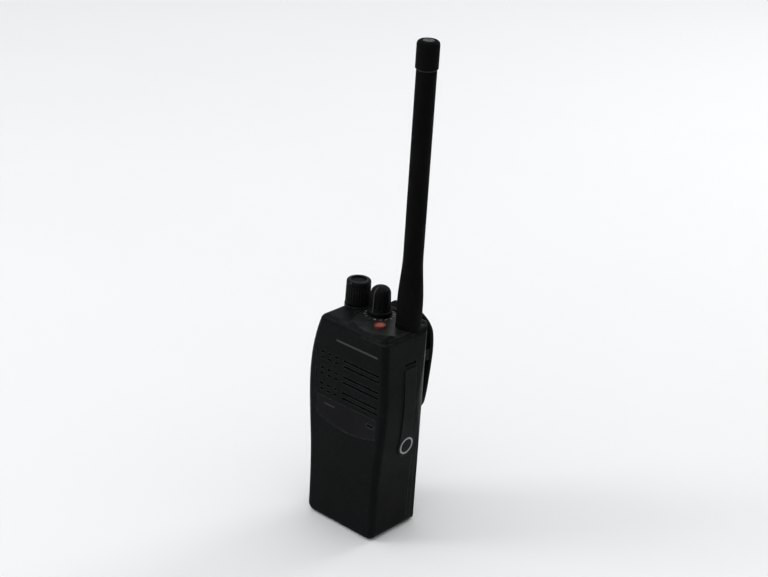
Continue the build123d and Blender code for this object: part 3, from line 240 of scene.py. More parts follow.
def rubber(name, dark, light, rough=(0.55, 0.72)):
    """Soft black rubber with a faint bloom and handling marks."""
    look = Look(name, gloss=0.045)
    tone = look.mix(look.spread(look.noise(18, 5, (1, 1, 0.35)), 0.35, 0.7), dark, light)
    bloom = look.spread(look.noise(1.6, 6, (1, 1, 0.5), 0.7), 0.55, 0.78, 0, 0.3)
    tone = look.mix(bloom, tone, (0.022, 0.022, 0.023))
    look.colour(look.mix(look.maths("MULTIPLY", look.edges(0.5), 0.6), tone, (0.02, 0.02, 0.021)))
    look.roughness(look.spread(look.noise(6, 4), 0.3, 0.7, *rough))
    look.bump((look.noise(0.35, 2), 0.012), (look.noise(5, 3, (1, 1, 0.3)), 0.06))
    return look


def metal(name, bright, dull, rough=(0.22, 0.42), brushed=(1, 1, 0.05)):
    """Bare metal with a drawn or brushed grain, tarnish and fine scratches."""
    look = Look(name, metal=1.0)
    tarnish = look.spread(look.noise(3, 5), 0.4, 0.75)
    tone = look.mix(tarnish, bright, dull)
    grain = look.noise(0.5, 3, brushed, 0.7)
    look.colour(look.mix(look.spread(grain, 0.55, 0.8, 0, 0.4), tone, dull))
    look.roughness(look.spread(grain, 0.3, 0.75, *rough))
    look.bump((grain, 0.008), (look.noise(0.25, 2), 0.004))
    return look


def printed(look, tone, marks, ink):
    """Plain rounded marks printed on the front face: each is (x, z, half length, half height) in mm."""
    split = look.node("ShaderNodeSeparateXYZ")
    look.feed(split.inputs[0], look.place)
    on_front = look.spread(split.outputs["Y"], (FRONT + 0.5) * MM, (FRONT + 0.45) * MM)
    for x, z, half_x, half_z in marks:
        away_x = look.maths("ABSOLUTE", look.maths("SUBTRACT", split.outputs["X"], x * MM))
        away_x = look.maths("MAXIMUM", look.maths("SUBTRACT", away_x, (half_x - half_z) * MM), 0.0)
        away_z = look.maths("SUBTRACT", split.outputs["Z"], z * MM)
        square_x = look.maths("MULTIPLY", away_x, away_x)
        square_z = look.maths("MULTIPLY", away_z, away_z)
        away = look.maths("SQRT", look.maths("ADD", square_x, square_z))
        inside = look.spread(away, (half_z + 0.04) * MM, (half_z - 0.04) * MM)
        tone = look.mix(look.maths("MULTIPLY", inside, on_front), tone, ink)
    return tone


TITLE_BAR = (6.6, 113.5, 15.2, 0.6)
LABEL_DASH = (-11.5, 72.4, 4.0, 0.4)
PORT_SURROUND = (18.9, 71.3, 2.9, 1.2)


def housing_look():
    """The body's plastic, with one plain bar printed above the grille."""
    # The paler edge colour given here is both wear and a painted highlight on the lips.
    look = moulded("housing", (0.0026, 0.0031, 0.003), (0.0046, 0.0046, 0.0056), wear_and_highlight=(0.038, 0.042, 0.04))
    worn_and_highlit = look.shader.inputs["Base Color"].links[0].from_socket
    look.colour(printed(look, worn_and_highlit, [TITLE_BAR], (0.055, 0.057, 0.057)))
    return look


def film_look():
    """The film label under the grille: one plain dash, and a paler surround at the microphone port."""
    look = moulded("nameplate", (0.0068, 0.0062, 0.0076), (0.0105, 0.0098, 0.0118), (0.32, 0.46), 0.3, 0.008)
    tone = look.shader.inputs["Base Color"].links[0].from_socket
    look.colour(printed(look, tone, [LABEL_DASH, PORT_SURROUND], (0.045, 0.046, 0.047)))
    return look


def felt_look():
    """Woven dark felt behind the grille."""
    look = Look("felt", rough=0.95, gloss=0.15)
    weave = look.maths("MULTIPLY", look.bands(0.5, "X"), look.bands(0.5, "Z"))
    look.colour(look.mix(weave, (0.004, 0.004, 0.0045), (0.02, 0.02, 0.021)))
    look.bump((weave, 0.12), (look.noise(0.3, 3), 0.05))
    return look


def button_look():
    """Faded orange-red plastic with grime and a darker edge."""
    look = Look("orange_button", rough=0.45)
    tone = look.mix(look.spread(look.noise(2.5, 4), 0.3, 0.7), (0.23, 0.075, 0.052), (0.3, 0.105, 0.078))
    grime = look.spread(look.noise(0.9, 5), 0.55, 0.8, 0, 0.5)
    tone = look.mix(grime, tone, (0.12, 0.036, 0.027))
    look.colour(look.mix(look.maths("MULTIPLY", look.edges(0.4), 0.6), tone, (0.07, 0.014, 0.011)))
    look.roughness(look.spread(look.noise(1.5, 3), 0.3, 0.7, 0.35, 0.6))
    look.bump((look.noise(0.4, 2), 0.02))
    return look


def lens_look():
    """Dark green lamp lens, unlit."""
    look = Look("lamp_lens", rough=0.12)
    swirl = look.spread(look.noise(0.9, 3), 0.3, 0.7)
    look.colour(look.mix(swirl, (0.006, 0.026, 0.016), (0.018, 0.058, 0.037)))
    look.shader.inputs["Coat Weight"].default_value = 0.6
    look.bump((look.noise(0.6, 2), 0.01))
    return look


def paint_look(name, pale, dirty, rough=0.5):
    """Printed or painted marking: pale ink with small gaps."""
    look = Look(name, rough=rough)
    look.colour(look.mix(look.spread(look.noise(0.5, 5), 0.5, 0.8, 0, 0.7), pale, dirty))
    look.roughness(look.spread(look.noise(1.1, 3), 0.3, 0.7, rough - 0.1, rough + 0.15))
    look.bump((look.noise(0.3, 2), 0.006))
    return look


def board_look():
    """Green circuit board with broken lighter tracks."""
    look = Look("board", rough=0.4)
    lines = look.spread(look.bands(2.3, "Z"), 0.45, 0.55)
    tracks = look.maths("MULTIPLY", lines, look.spread(look.noise(6, 1), 0.45, 0.5))
    look.colour(look.mix(tracks, (0.006, 0.05, 0.022), (0.012, 0.1, 0.04)))
    look.bump((tracks, 0.03), (look.noise(0.6, 2), 0.01))
    return look


def cone_look():
    """Fibrous paper of the loudspeaker's cone."""
    look = Look("paper_cone", rough=0.9, gloss=0.2)
    fibre = look.noise(0.8, 5, (1, 0.3, 1), 0.7)
    look.colour(look.mix(look.spread(fibre, 0.35, 0.7), (0.02, 0.019, 0.017), (0.05, 0.047, 0.042)))
    look.bump((fibre, 0.06))
    return look


def label_look():
    """Blank rating label: a matt dark film with a thin paler border."""
    look = Look("label", rough=0.35)
    tone = look.mix(look.spread(look.noise(9, 4), 0.35, 0.7), (0.011, 0.0113, 0.012), (0.017, 0.0175, 0.0185))
    split = look.node("ShaderNodeSeparateXYZ")
    look.feed(split.inputs[0], look.place)
    centre = middle("battery_label")
    half = (high("battery_label") - low("battery_label")) / 2
    margin = 1.5
    across = look.maths("ABSOLUTE", split.outputs["X"])
    up = look.maths("ABSOLUTE", look.maths("SUBTRACT", split.outputs["Z"], centre.z * MM))
    edge = look.maths(
        "MINIMUM",
        look.maths("SUBTRACT", (half.x - margin) * MM, across),
        look.maths("SUBTRACT", (half.z - margin) * MM, up),
    )
    border = look.spread(look.maths("ABSOLUTE", edge), 0.24 * MM, 0.16 * MM)
    look.colour(look.mix(border, tone, PALE_LINE))
    look.roughness(look.spread(look.noise(5, 4), 0.3, 0.7, 0.28, 0.45))
    look.bump((look.noise(0.5, 2), 0.006))
    return look


LOOKS = {
    "housing": housing_look(),
    "trim": moulded("trim", (0.0062, 0.0064, 0.007), (0.0105, 0.0108, 0.0118), (0.36, 0.52), 0.35, 0.012),
    "knob_plastic": moulded(
        "knob_plastic", (0.0032, 0.0032, 0.0035), (0.006, 0.006, 0.0066), (0.38, 0.54), 0.4, 0.015
    ),
    "antenna_rubber": rubber("antenna_rubber", (0.0026, 0.0026, 0.0028), (0.0048, 0.0048, 0.005)),
    "button_rubber": rubber("button_rubber", (0.0055, 0.0055, 0.006), (0.0095, 0.0095, 0.01)),
    "orange_button": button_look(),
    "lamp_lens": lens_look(),
    "emblem": paint_look("emblem", (0.3, 0.31, 0.315), (0.13, 0.134, 0.137), 0.45),
    "felt": felt_look(),
    "black_steel": moulded(
        "black_steel", (0.008, 0.008, 0.0085), (0.014, 0.014, 0.015), (0.3, 0.45), 0.6, 0.008, gloss=0.45
    ),
    "steel": metal("steel", (0.3, 0.3, 0.31), (0.14, 0.14, 0.145), (0.32, 0.5)),
    "brass": metal("brass", (0.42, 0.3, 0.14), (0.2, 0.14, 0.065)),
    "gold": metal("gold", (0.75, 0.52, 0.2), (0.5, 0.33, 0.13), (0.15, 0.3)),
    "cast_metal": metal("cast_metal", (0.42, 0.42, 0.43), (0.28, 0.28, 0.29), (0.45, 0.65), (1, 1, 1)),
    "board": board_look(),
    "dark_moulding": moulded(
        "dark_moulding", (0.008, 0.008, 0.0085), (0.014, 0.014, 0.015), (0.4, 0.55), 0.5, 0.01
    ),
    "paper_cone": cone_look(),
    "battery_plastic": moulded(
        "battery_plastic", (0.004, 0.0042, 0.0046), (0.0072, 0.0074, 0.008), (0.33, 0.48)
    ),
    "cell_wrap": moulded("cell_wrap", (0.01, 0.03, 0.05), (0.015, 0.045, 0.07), (0.3, 0.4), 0.8, 0.005),
    "label": label_look(),
}
INK = paint_look("ink", (0.36, 0.37, 0.36), (0.2, 0.2, 0.2))
DULL = paint_look("dull_ink", (0.026, 0.027, 0.028), (0.012, 0.012, 0.013), 0.6)
# Pale colour of the disc at the antenna's end: a painted highlight.
TOP_HIGHLIGHT = paint_look("antenna_top_highlight", (0.05, 0.051, 0.052), (0.03, 0.03, 0.031), 0.4)
GLUE = paint_look("glue_line", (0.018, 0.018, 0.018), (0.01, 0.01, 0.01), 0.6)
RIM_RED = paint_look("rim_red", (0.2, 0.022, 0.014), (0.09, 0.012, 0.01), 0.4)
OWN_LOOKS = {
    "front_label": film_look(),
    # The deck film's greenish tone is its own; its extra paleness over the housing is painted light on the
    # top.
    "deck_inlay": moulded(
        "deck_film_with_painted_light", (0.009, 0.0102, 0.0098), (0.0145, 0.0162, 0.0156), (0.3, 0.42), 0.35, 0.01, gloss=0.18
    ),
    "clip_pin": LOOKS["black_steel"],
}

for name, node in NODES.items():
    for holder in node.material_slots:
        look = OWN_LOOKS.get(name) or LOOKS[holder.material.name.split(".")[0]]
        holder.link = "OBJECT"
        holder.material = look.material


# ---- mesh helpers ----
def piece(name, mesh, look, body, replaces=(), bevel=0.0, smooth=True):
    """Turns a bmesh in mm into a piece that rides on a body."""
    bmesh.ops.recalc_face_normals(mesh, faces=mesh.faces)
    bmesh.ops.scale(mesh, vec=(MM, MM, MM), verts=mesh.verts)
    data = bpy.data.meshes.new(name)
    mesh.to_mesh(data)
    mesh.free()
    data.materials.append(look.material)
    made = bpy.data.objects.new(name, data)
    bpy.context.scene.collection.objects.link(made)
    if smooth:
        data.shade_smooth()
        data.set_sharp_from_angle(angle=SHARP)
    if bevel:
        soft = made.modifiers.new("edge", "BEVEL")
        soft.width = bevel * MM
        soft.segments = 3
        soft.limit_method = "ANGLE"
        soft.angle_limit = SHARP
        soft.harden_normals = True
    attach(made, body)
    if replaces:
        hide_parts(*replaces)
    return made


def loft(rings, mesh=None, close=True):
    """Joins rings of points into one skin. A ring of one point closes an end."""
    mesh = mesh or bmesh.new()
    made = [[mesh.verts.new(point) for point in ring] for ring in rings]
    for first, second in zip(made, made[1:]):
        count = max(len(first), len(second))
        for index in range(count):
            after = (index + 1) % count
            corners = []
            for ring, steps in ((first, (index, after)), (second, (after, index))):
                corners += [ring[0]] if len(ring) == 1 else [ring[step] for step in steps]
            mesh.faces.new(corners)
    if close:
        for ring in (made[0], made[-1]):
            if len(ring) > 1:
                mesh.faces.new(ring)
    return mesh


def fine(profile, step):
    """Adds points so that no step along the profile is longer than step."""
    points = [profile[0]]
    for first, second in zip(profile, profile[1:]):
        parts = max(1, math.ceil(math.dist(first, second) / step))
        for part in range(1, parts + 1):
            share = part / parts
            points.append(tuple(a + (b - a) * share for a, b in zip(first, second)))
    return points


def arc(centre, radius, start, end, parts=6):
    """Points of an arc in a profile, angles in degrees from the outward direction."""
    angles = [math.radians(start + (end - start) * part / parts) for part in range(parts + 1)]
    return [(centre[0] + radius * math.cos(a), centre[1] + radius * math.sin(a)) for a in angles]


def lathe(profile, centre, segments, shape=None):
    """Solid of revolution from (radius, height) points that start and end on the axis."""
    rings = []
    for radius, height in profile:
        if radius < 1e-6:
            rings.append([(centre.x, centre.y, height)])
            continue
        ring = []
        for index in range(segments):
            angle = math.tau * index / segments
            reach = shape(radius, height, angle) if shape else radius
            ring.append((centre.x + reach * math.cos(angle), centre.y + reach * math.sin(angle), height))
        rings.append(ring)
    return loft(rings)


def smooth_step(value, start, end):
    """Smooth ramp from 0 at start to 1 at end."""
    share = min(max((value - start) / (end - start), 0), 1)
    return share * share * (3 - 2 * share)


def angle_from(angle, target):
    """Unsigned difference of two angles."""
    return abs((angle - target + math.pi) % math.tau - math.pi)


# ---- the knobs ----
FRONTWARD = -math.pi / 2
SHAFT_RADIUS = 3.0
NUT_ROOM_RADIUS = 5.6
NUT_ROOM_HEIGHT = 3.4
VOLUME_RIM = 1.2
VOLUME_RIM_INSET = 1.5
COLLAR_HEIGHT = 2.2
COLLAR_WIDTH = 1.0
DOME_INSET = 0.35
DOME_HEIGHT = 4.2
DOME_ROUNDNESS = 0.75
FLUTES = 12
CLICKS = 16


def knob_inside(base, ceiling):
    """Profile of a knob's inside: the hole for the shaft over a wider room for the nut."""
    shelf = base + NUT_ROOM_HEIGHT
    hole = [(0, ceiling), (SHAFT_RADIUS, ceiling), (SHAFT_RADIUS, shelf)]
    return hole + [(NUT_ROOM_RADIUS, shelf), (NUT_ROOM_RADIUS, base)]


def volume_dial():
    """Round knob with fine grips, a rounded rim and a dished top."""
    base, top = low("volume_knob").z, high("volume_knob").z
    radius = high("volume_knob").x - VOLUME.x
    foot, dish = 0.4, 1.6
    profile = knob_inside(base, top - 3)
    profile += arc((radius - foot, base + foot), foot, -90, 0, 3)
    profile += arc((radius - VOLUME_RIM_INSET, top - VOLUME_RIM), VOLUME_RIM, 0, 90)
    profile += arc((radius - dish - 1, top - dish), dish, 88, 40, 4)
    profile += [(radius - 3.4, top - 0.85), (0, top - 0.7)]
    grip_count, grip_depth = 28, 0.3

    def grips(reach, height, angle):
        if reach < radius - VOLUME_RIM:
            return reach
        fade = smooth_step(height, base + 0.9, base + 1.7) * (1 - smooth_step(height, top - 2.6, top - 1.5))
        wave = 0.5 + 0.5 * math.cos(angle * grip_count)
        return reach - grip_depth * fade * wave * wave

    return piece(
        "volume_dial", lathe(fine(profile, 0.7), VOLUME, 224, grips), LOOKS["knob_plastic"],
        "volume", ["volume_knob"],
    )


def pointer(name, path, centre, half, body):
    """Dull painted strip, 2 half wide, that follows a (radius, height) path at the front of a knob."""
    rings = []
    for reach, height in path:
        x, y = centre.x, centre.y - reach
        deep_y, deep_z = y + 0.3, height - 0.25
        outside = [(x - half, y, height), (x + half, y, height)]
        rings.append(outside + [(x + half, deep_y, deep_z), (x - half, deep_y, deep_z)])
    return piece(name, loft(rings), DULL, body)


def volume_mark():
    """Small mark on the volume knob's rim, standing just out of it."""
    top = high("volume_knob").z
    radius = high("volume_knob").x - VOLUME.x
    path = arc((radius - VOLUME_RIM_INSET, top - VOLUME_RIM), VOLUME_RIM + 0.04, 62, 4, 5)
    return pointer("volume_mark", path, VOLUME, 0.4, "volume")


def dome(reach, foot, height, lift, turn):
    """Point of a knob's domed top; turn goes from 0 at the shoulder to a quarter turn at the axis."""
    return lift + reach * math.cos(turn) ** DOME_ROUNDNESS, foot + height * math.sin(turn) + lift


def channel_dial():
    """Tapered knob with a collar, twelve flutes and a domed top."""
    base, top = low("channel_knob").z, high("channel_knob").z
    radius = high("channel_knob").x - CHANNEL.x
    waist = radius - COLLAR_WIDTH
    collar = base + COLLAR_HEIGHT
    shoulder = (waist - DOME_INSET, top - DOME_HEIGHT)
    foot, collar_round, dome_parts = 0.3, 0.7, 12
    profile = knob_inside(base, top - 4)
    profile += arc((radius - foot, base + foot), foot, -90, 0, 3)
    profile += arc((radius - collar_round, collar - collar_round), collar_round, 0, 80, 5)
    profile += [(waist + 0.35, collar + 0.15), (waist + 0.12, collar + 0.6), shoulder]
    for part in range(1, dome_parts):
        profile.append(dome(*shoulder, top - shoulder[1], 0, math.radians(90 * part / dome_parts)))
    profile.append((0, top))
    flute_radius, flute_start = 1.0, collar + 0.7

    def flutes(reach, height, angle):
        if height < flute_start or reach < SHAFT_RADIUS + 0.2:
            return reach
        nearest = min(angle_from(angle, math.tau * (index + 0.5) / FLUTES) for index in range(FLUTES))
        across = nearest * waist
        if across >= flute_radius:
            return reach
        cut = waist + 0.62 - math.sqrt(flute_radius * flute_radius - across * across)
        return min(reach, cut + 1.2 * (1 - smooth_step(height, flute_start, collar + 1.6)))

    return piece(
        "channel_dial", lathe(fine(profile, 0.6), CHANNEL, 240, flutes), LOOKS["knob_plastic"],
        "channel", ["channel_knob"],
    )


def channel_pointer():
    """Thin line from the top of the channel knob down to its collar."""
    top = high("channel_knob").z
    waist = high("channel_knob").x - CHANNEL.x - COLLAR_WIDTH
    collar = low("channel_knob").z + COLLAR_HEIGHT
    path = [(2.2, top - 0.12)]
    for part in range(3, 13):
        turn = math.radians(90 - 90 * part / 12)
        across, height = dome(waist - DOME_INSET, top - DOME_HEIGHT, DOME_HEIGHT, 0.04, turn)
        path.append((across + 0.02, height))
    path += [(waist + 0.16, collar + 0.8), (waist + 0.42, collar + 0.3)]
    return pointer("channel_pointer", path, CHANNEL, 0.3, "channel")


def print_on_deck(name, marks):
    """Numbers lying on the deck: each is (text, x, y, turn, size)."""
    mesh = bmesh.new()
    for text, x, y, turn, size in marks:
        curve = bpy.data.curves.new(name, "FONT")
        curve.body = text
        curve.size = size
        curve.align_x = "CENTER"
        curve.align_y = "CENTER"
        curve.extrude = 0.02
        curve.resolution_u = 3
        holder = bpy.data.objects.new(name, curve)
        bpy.context.scene.collection.objects.link(holder)
        bpy.context.view_layer.update()
        flat = bpy.data.meshes.new_from_object(holder.evaluated_get(bpy.context.evaluated_depsgraph_get()))
        start = len(mesh.verts)
        mesh.from_mesh(flat)
        mesh.verts.ensure_lookup_table()
        new = mesh.verts[start:]
        bmesh.ops.rotate(mesh, verts=new, cent=(0, 0, 0), matrix=Quaternion((0, 0, 1), turn).to_matrix())
        bmesh.ops.translate(mesh, verts=new, vec=(x, y, DECK_TOP + 0.01))
        bpy.data.objects.remove(holder)
        bpy.data.curves.remove(curve)
        bpy.data.meshes.remove(flat)
    return piece(name, mesh, INK, "radio", smooth=False)


def channel_numbers():
    """Numbers 1 to 16 round the channel knob, one for each click."""
    reach, size = 8.05, 1.75
    marks = []
    for index in range(CLICKS):
        angle = FRONTWARD - math.tau * index / CLICKS
        x, y = CHANNEL.x + reach * math.cos(angle), CHANNEL.y + reach * math.sin(angle)
        marks.append((str(index + 1), x, y, angle + math.pi / 2, size))
    return print_on_deck("channel_numbers", marks)


# ---- the antenna ----
ROD_RADIUS = 5.4
STUD_ROOM = 3.5
FLARE_LOW = 138.0
FLARE_TOP = 166.0
SEAM_ANGLE = 0.6


def antenna_rod():
    """Rubber rod: a skirt over the socket, a groove above it, a long flare and two faint mould seams."""
    base, top = low("antenna_sheath").z, high("antenna_sheath").z
    wide = high("antenna_sheath").x - ANTENNA.x
    ceiling = high("antenna_stud").z
    skirt = high("antenna_socket").z + 0.03
    inside = wide - 1.2
    groove = wide - 0.22
    profile = [(0, ceiling), (STUD_ROOM, ceiling), (STUD_ROOM, base), (inside, base), (inside, skirt)]
    profile += [(wide - 0.2, skirt), (wide, skirt + 0.2), (wide, base + 0.9), (wide, base + 3.0)]
    profile += [(groove, base + 3.25), (groove, base + 3.75), (wide, base + 4.0), (wide, FLARE_LOW)]
    flare_parts = 18
    for part in range(1, flare_parts + 1):
        share = part / flare_parts
        eased = smooth_step(share, 0, 1)
        profile.append((wide + (ROD_RADIUS - wide) * eased, FLARE_LOW + (FLARE_TOP - FLARE_LOW) * share))
    profile += [(ROD_RADIUS, top - 0.5), (ROD_RADIUS - 0.2, top - 0.1), (ROD_RADIUS - 0.6, top), (0, top)]
    seam_start = base + 4.2
    seam_height, seam_width, ripple = 0.07, 0.22, 0.02

    def seams(reach, height, angle):
        if height < seam_start or reach < 5:
            return reach
        away = min(angle_from(angle, SEAM_ANGLE), angle_from(angle, SEAM_ANGLE + math.pi)) * reach
        seam = seam_height * math.exp(-(away / seam_width) ** 2)
        return reach + seam + ripple * math.sin(height * 1.7) * math.cos(2 * angle)

    return piece(
        "antenna_rod", lathe(fine(profile, 3), ANTENNA, 160, seams), LOOKS["antenna_rubber"],
        "antenna", ["antenna_sheath"],
    )


def antenna_tip():
    """Thicker cap with a rolled top and a shallow dish, which the pale disc of painted highlight sits in."""
    base, top = low("antenna_cap").z, high("antenna_cap").z
    radius = high("antenna_cap").x - ANTENNA.x
    neck, foot, crown = 4.9, 0.5, 2.2
    profile = [(0, base), (neck, base), (neck, base + 0.55)]
    profile += arc((radius - foot, base + 1.05), foot, -90, 0, 4)
    profile += arc((radius - crown, top - crown), crown, 4, 88, 9)
    profile += [(radius - 2.9, top - 0.08), (radius - 3.5, top - 0.4)]
    profile += [(1.1, top - 0.62), (0.9, top - 0.4), (0, top - 0.36)]
    return piece(
        "antenna_tip", lathe(fine(profile, 1.6), ANTENNA, 128), LOOKS["antenna_rubber"],
        "antenna", ["antenna_cap"],
    )


def antenna_top_highlight():
    """Disc let into the end of the cap, with a small dimple; its paler colour is a painted highlight."""
    top = high("antenna_cap").z
    radius = high("antenna_cap").x - ANTENNA.x - 3
    profile = [(0, top - 0.5), (radius, top - 0.5), (radius, top - 0.15), (radius - 0.15, top - 0.05)]
    profile += [(1.1, top - 0.05), (0.9, top - 0.25), (0, top - 0.25)]
    return piece("antenna_top_highlight", lathe(fine(profile, 0.8), ANTENNA, 96), TOP_HIGHLIGHT, "antenna")


def antenna_band():
    """Glue line in the groove under the cap."""
    base = low("antenna_cap").z
    widest = ROD_RADIUS - 0.02
    profile = [(0, base + 0.02), (widest - 0.06, base + 0.02), (widest, base + 0.16)]
    profile += [(widest, base + 0.38), (widest - 0.08, base + 0.5), (0, base + 0.5)]
    return piece("antenna_band", lathe(profile, ANTENNA, 96), GLUE, "antenna")


# ---- the top button ----
def call_button_rim():
    """Darker moulded rim of the top button, on the flange that the housing holds."""
    base, top = low("top_button").z, high("top_button").z
    flange = high("top_button").x - BUTTON.x
    radius = flange - 0.8
    edge = 0.45
    profile = [(0, base), (flange, base), (flange, base + 1), (radius, base + 1), (radius, top - 1.0)]
    profile += arc((radius - edge, top - 0.55), edge, 0, 90, 4)
    profile += [(radius - 0.85, top - 0.12), (radius - 0.95, top - 0.45), (0, top - 0.45)]
    return piece(
        "call_button_rim", lathe(fine(profile, 0.8), BUTTON, 96), RIM_RED,
        "top_button", ["top_button"],
    )


def call_button_cap():
    """Orange cap with a soft crown, inside the rim."""
    top = high("top_button").z
    radius = high("top_button").x - BUTTON.x - 1.8
    shoulder, crown, parts = top - 0.32, 0.3, 8
    profile = [(0, top - 0.6), (radius, top - 0.6), (radius, shoulder)]
    for part in range(1, parts):
        turn = math.radians(90 * part / parts)
        profile.append((radius * math.cos(turn), shoulder + crown * math.sin(turn)))
    profile.append((0, shoulder + crown))
    return piece(
        "call_button_cap", lathe(profile, BUTTON, 96), LOOKS["orange_button"], "top_button"
    )


# ---- the side buttons ----
# A pad is a stack of rings, one for each row. A row below 0 lowers its ring from the foot of the pad's
# rounded edge, and one above 0 draws its ring in from the pad's outline.
PAD_LIP = 0.9
PAD_PROUD = 0.9
PAD_EDGE = 1.0
PAD_STEP = 0.35
PAD_ROWS = (-2.0, -0.6, -0.15, 0, 0.1, 0.25, 0.45, 0.7, 1.0, 1.4)
PAD_ROW_PITCH = 0.45


def rounded_outline(half_a, half_b, radius, parts=8):
    """Points round a rectangle with rounded corners, always the same number."""
    radius = max(min(radius, half_a, half_b), 0.02)
    points = []
    for corner, (side_a, side_b) in enumerate(((1, 1), (-1, 1), (-1, -1), (1, -1))):
        centre_a, centre_b = side_a * (half_a - radius), side_b * (half_b - radius)
        for part in range(parts + 1):
            turn = math.radians(90 * corner + 90 * part / parts)
            points.append((centre_a + radius * math.cos(turn), centre_b + radius * math.sin(turn)))
    return points


def pad_height(row, y, z, relief):
    """How high a place on a pad stands over the wall, from the rounded edge to the relief on its face."""
    if row < 0:
        return PAD_STEP * PAD_PROUD + row
    share = 1 - min(row / PAD_EDGE, 1)
    height = PAD_PROUD * (PAD_STEP + (1 - PAD_STEP) * math.sqrt(max(1 - share ** 2, 0)))
    return height + relief(y, z) if row >= PAD_EDGE else height


def side_pad(name, node, body, relief):
    """Rubber side button: a rounded cap that follows the wall's curve, with a moulded relief on its face."""
    first, last = low(node), high(node)
    centre = (first + last) / 2
    half_y = (last.y - first.y) / 2 - PAD_LIP
    half_z = (last.z - first.z) / 2 - PAD_LIP
    corner = min(half_y, half_z) - 0.6
    rows = list(PAD_ROWS)
    while rows[-1] + 0.5 < min(half_y, half_z) - 0.2:
        rows.append(rows[-1] + PAD_ROW_PITCH)
    rings = []
    for row in rows:
        inset = max(row, 0)
        shrink = 0.97 if row <= 0.1 else 1
        ring = []
        for y, z in rounded_outline(half_y - inset, half_z - inset, corner - inset):
            place = surface(node, (first.x - 20, centre.y + y * shrink, centre.z + z * shrink), (1, 0, 0))
            outer = place.x if place else first.x
            height = pad_height(row, y, z, relief)
            ring.append((outer + PAD_PROUD - height, centre.y + y, centre.z + z))
        rings.append(ring)
    inner = rings[-1]
    rings.append([tuple(sum(point[axis] for point in inner) / len(inner) for axis in range(3))])
    mesh = loft(rings, close=False)
    mesh.faces.new(list(mesh.verts)[: len(rings[0])])
    return piece(name, mesh, LOOKS["button_rubber"], body, [node])


def ribs(count, pitch, half_length):
    """Relief of level ribs across a pad; they stay level with the cap's top, and the ground between sinks."""
    depth = 0.32

    def relief(y, z):
        if abs(z) > count * pitch / 2:
            return 0.0
        wave = 0.5 - 0.5 * math.cos(math.tau * (z / pitch + 0.5 * (count + 1)))
        fade = 1 - smooth_step(abs(y), half_length - 0.7, half_length)
        return -depth * wave * fade

    return relief


def dimple(radius):
    """Relief of one round hollow in the middle of a pad."""
    depth = 0.3

    def relief(y, z):
        return -depth * (1 - smooth_step(math.hypot(y, z), radius * 0.55, radius))

    return relief


# ---- belt clip ----
CLIP_FOOT_CORNER = 6.0
CLIP_THUMB_CORNER = 15.0
CLIP_ROWS = 84
CLIP_COLUMNS = 34
CLIP_ROLL_PARTS = 8
CLIP_ROLL = 1.1
RIBS_LOW, RIBS_TOP = 113.5, 122.5
RIB_PITCH = 1.8
RIB_DEPTH = 0.4
PANEL_DEPTH = 0.45
EAR_INNER_X, EAR_OUTER_X = 14.3, 16.3


def rounded_half(half, corner, near):
    """Half width of a plate with rounded corners, at a distance from its end."""
    if near >= corner:
        return half
    return half - corner + math.sqrt(max(corner ** 2 - (corner - near) ** 2, 0))


def clip_relief(x, z):
    """How far the clip's outer face is sunk at a place: thumb ribs, and a shallow panel below them."""
    thumb = 0.0
    if RIBS_LOW < z < RIBS_TOP:
        wave = 0.5 - 0.5 * math.cos(math.tau * (z - RIBS_LOW) / RIB_PITCH)
        thumb = RIB_DEPTH * wave * (1 - smooth_step(abs(x), 7.2, 8.6))
    panel_x = 1 - smooth_step(abs(x), 10.6, 11.6)
    panel_z = smooth_step(z, 73.0, 74.2) * (1 - smooth_step(z, 107.0, 108.2))
    return thumb + PANEL_DEPTH * panel_x * panel_z


def clip_ring(z, width, y_in, y_out, roll):
    """Level section of the clip: outer face with its relief, rolled edge, plain inner face, rolled edge."""
    centre_y, half_y = (y_in + y_out) / 2, (y_out - y_in) / 2
    flat = width - roll
    across = [flat * (2 * step / CLIP_COLUMNS - 1) for step in range(CLIP_COLUMNS + 1)]
    turns = [math.pi * part / CLIP_ROLL_PARTS for part in range(1, CLIP_ROLL_PARTS)]
    ring = [(x, y_out - clip_relief(x, z), z) for x in across]
    ring += [(flat + roll * math.sin(turn), centre_y + half_y * math.cos(turn), z) for turn in turns]
    ring += [(-x, y_in, z) for x in across]
    ring += [(-flat - roll * math.sin(turn), centre_y - half_y * math.cos(turn), z) for turn in turns]
    return ring


def belt_clip():
    """Curved clip: rolled edges, a pressed-in panel, thumb ribs at the top and a turned-in jaw."""
    first, last = low("clip_lever"), high("clip_lever")
    half = last.x
    bottom, top = first.z + 0.05, last.z - 0.05
    rings = []
    for row in range(CLIP_ROWS + 1):
        z = bottom + (top - bottom) * (0.5 - 0.5 * math.cos(math.pi * row / CLIP_ROWS))
        outer = surface("clip_lever", (8, 60, z), (0, -1, 0))
        inner = surface("clip_lever", (8, 21, z), (0, 1, 0))
        if outer is None or inner is None:
            continue
        foot_half = rounded_half(half, CLIP_FOOT_CORNER, z - first.z)
        thumb_half = rounded_half(half, CLIP_THUMB_CORNER, last.z - z)
        roll = min(CLIP_ROLL, (outer.y - inner.y) * 0.48)
        rings.append(clip_ring(z, min(foot_half, thumb_half), inner.y, outer.y, roll))
    return piece("belt_clip", loft(rings), LOOKS["trim"], "clip", ["clip_lever"])


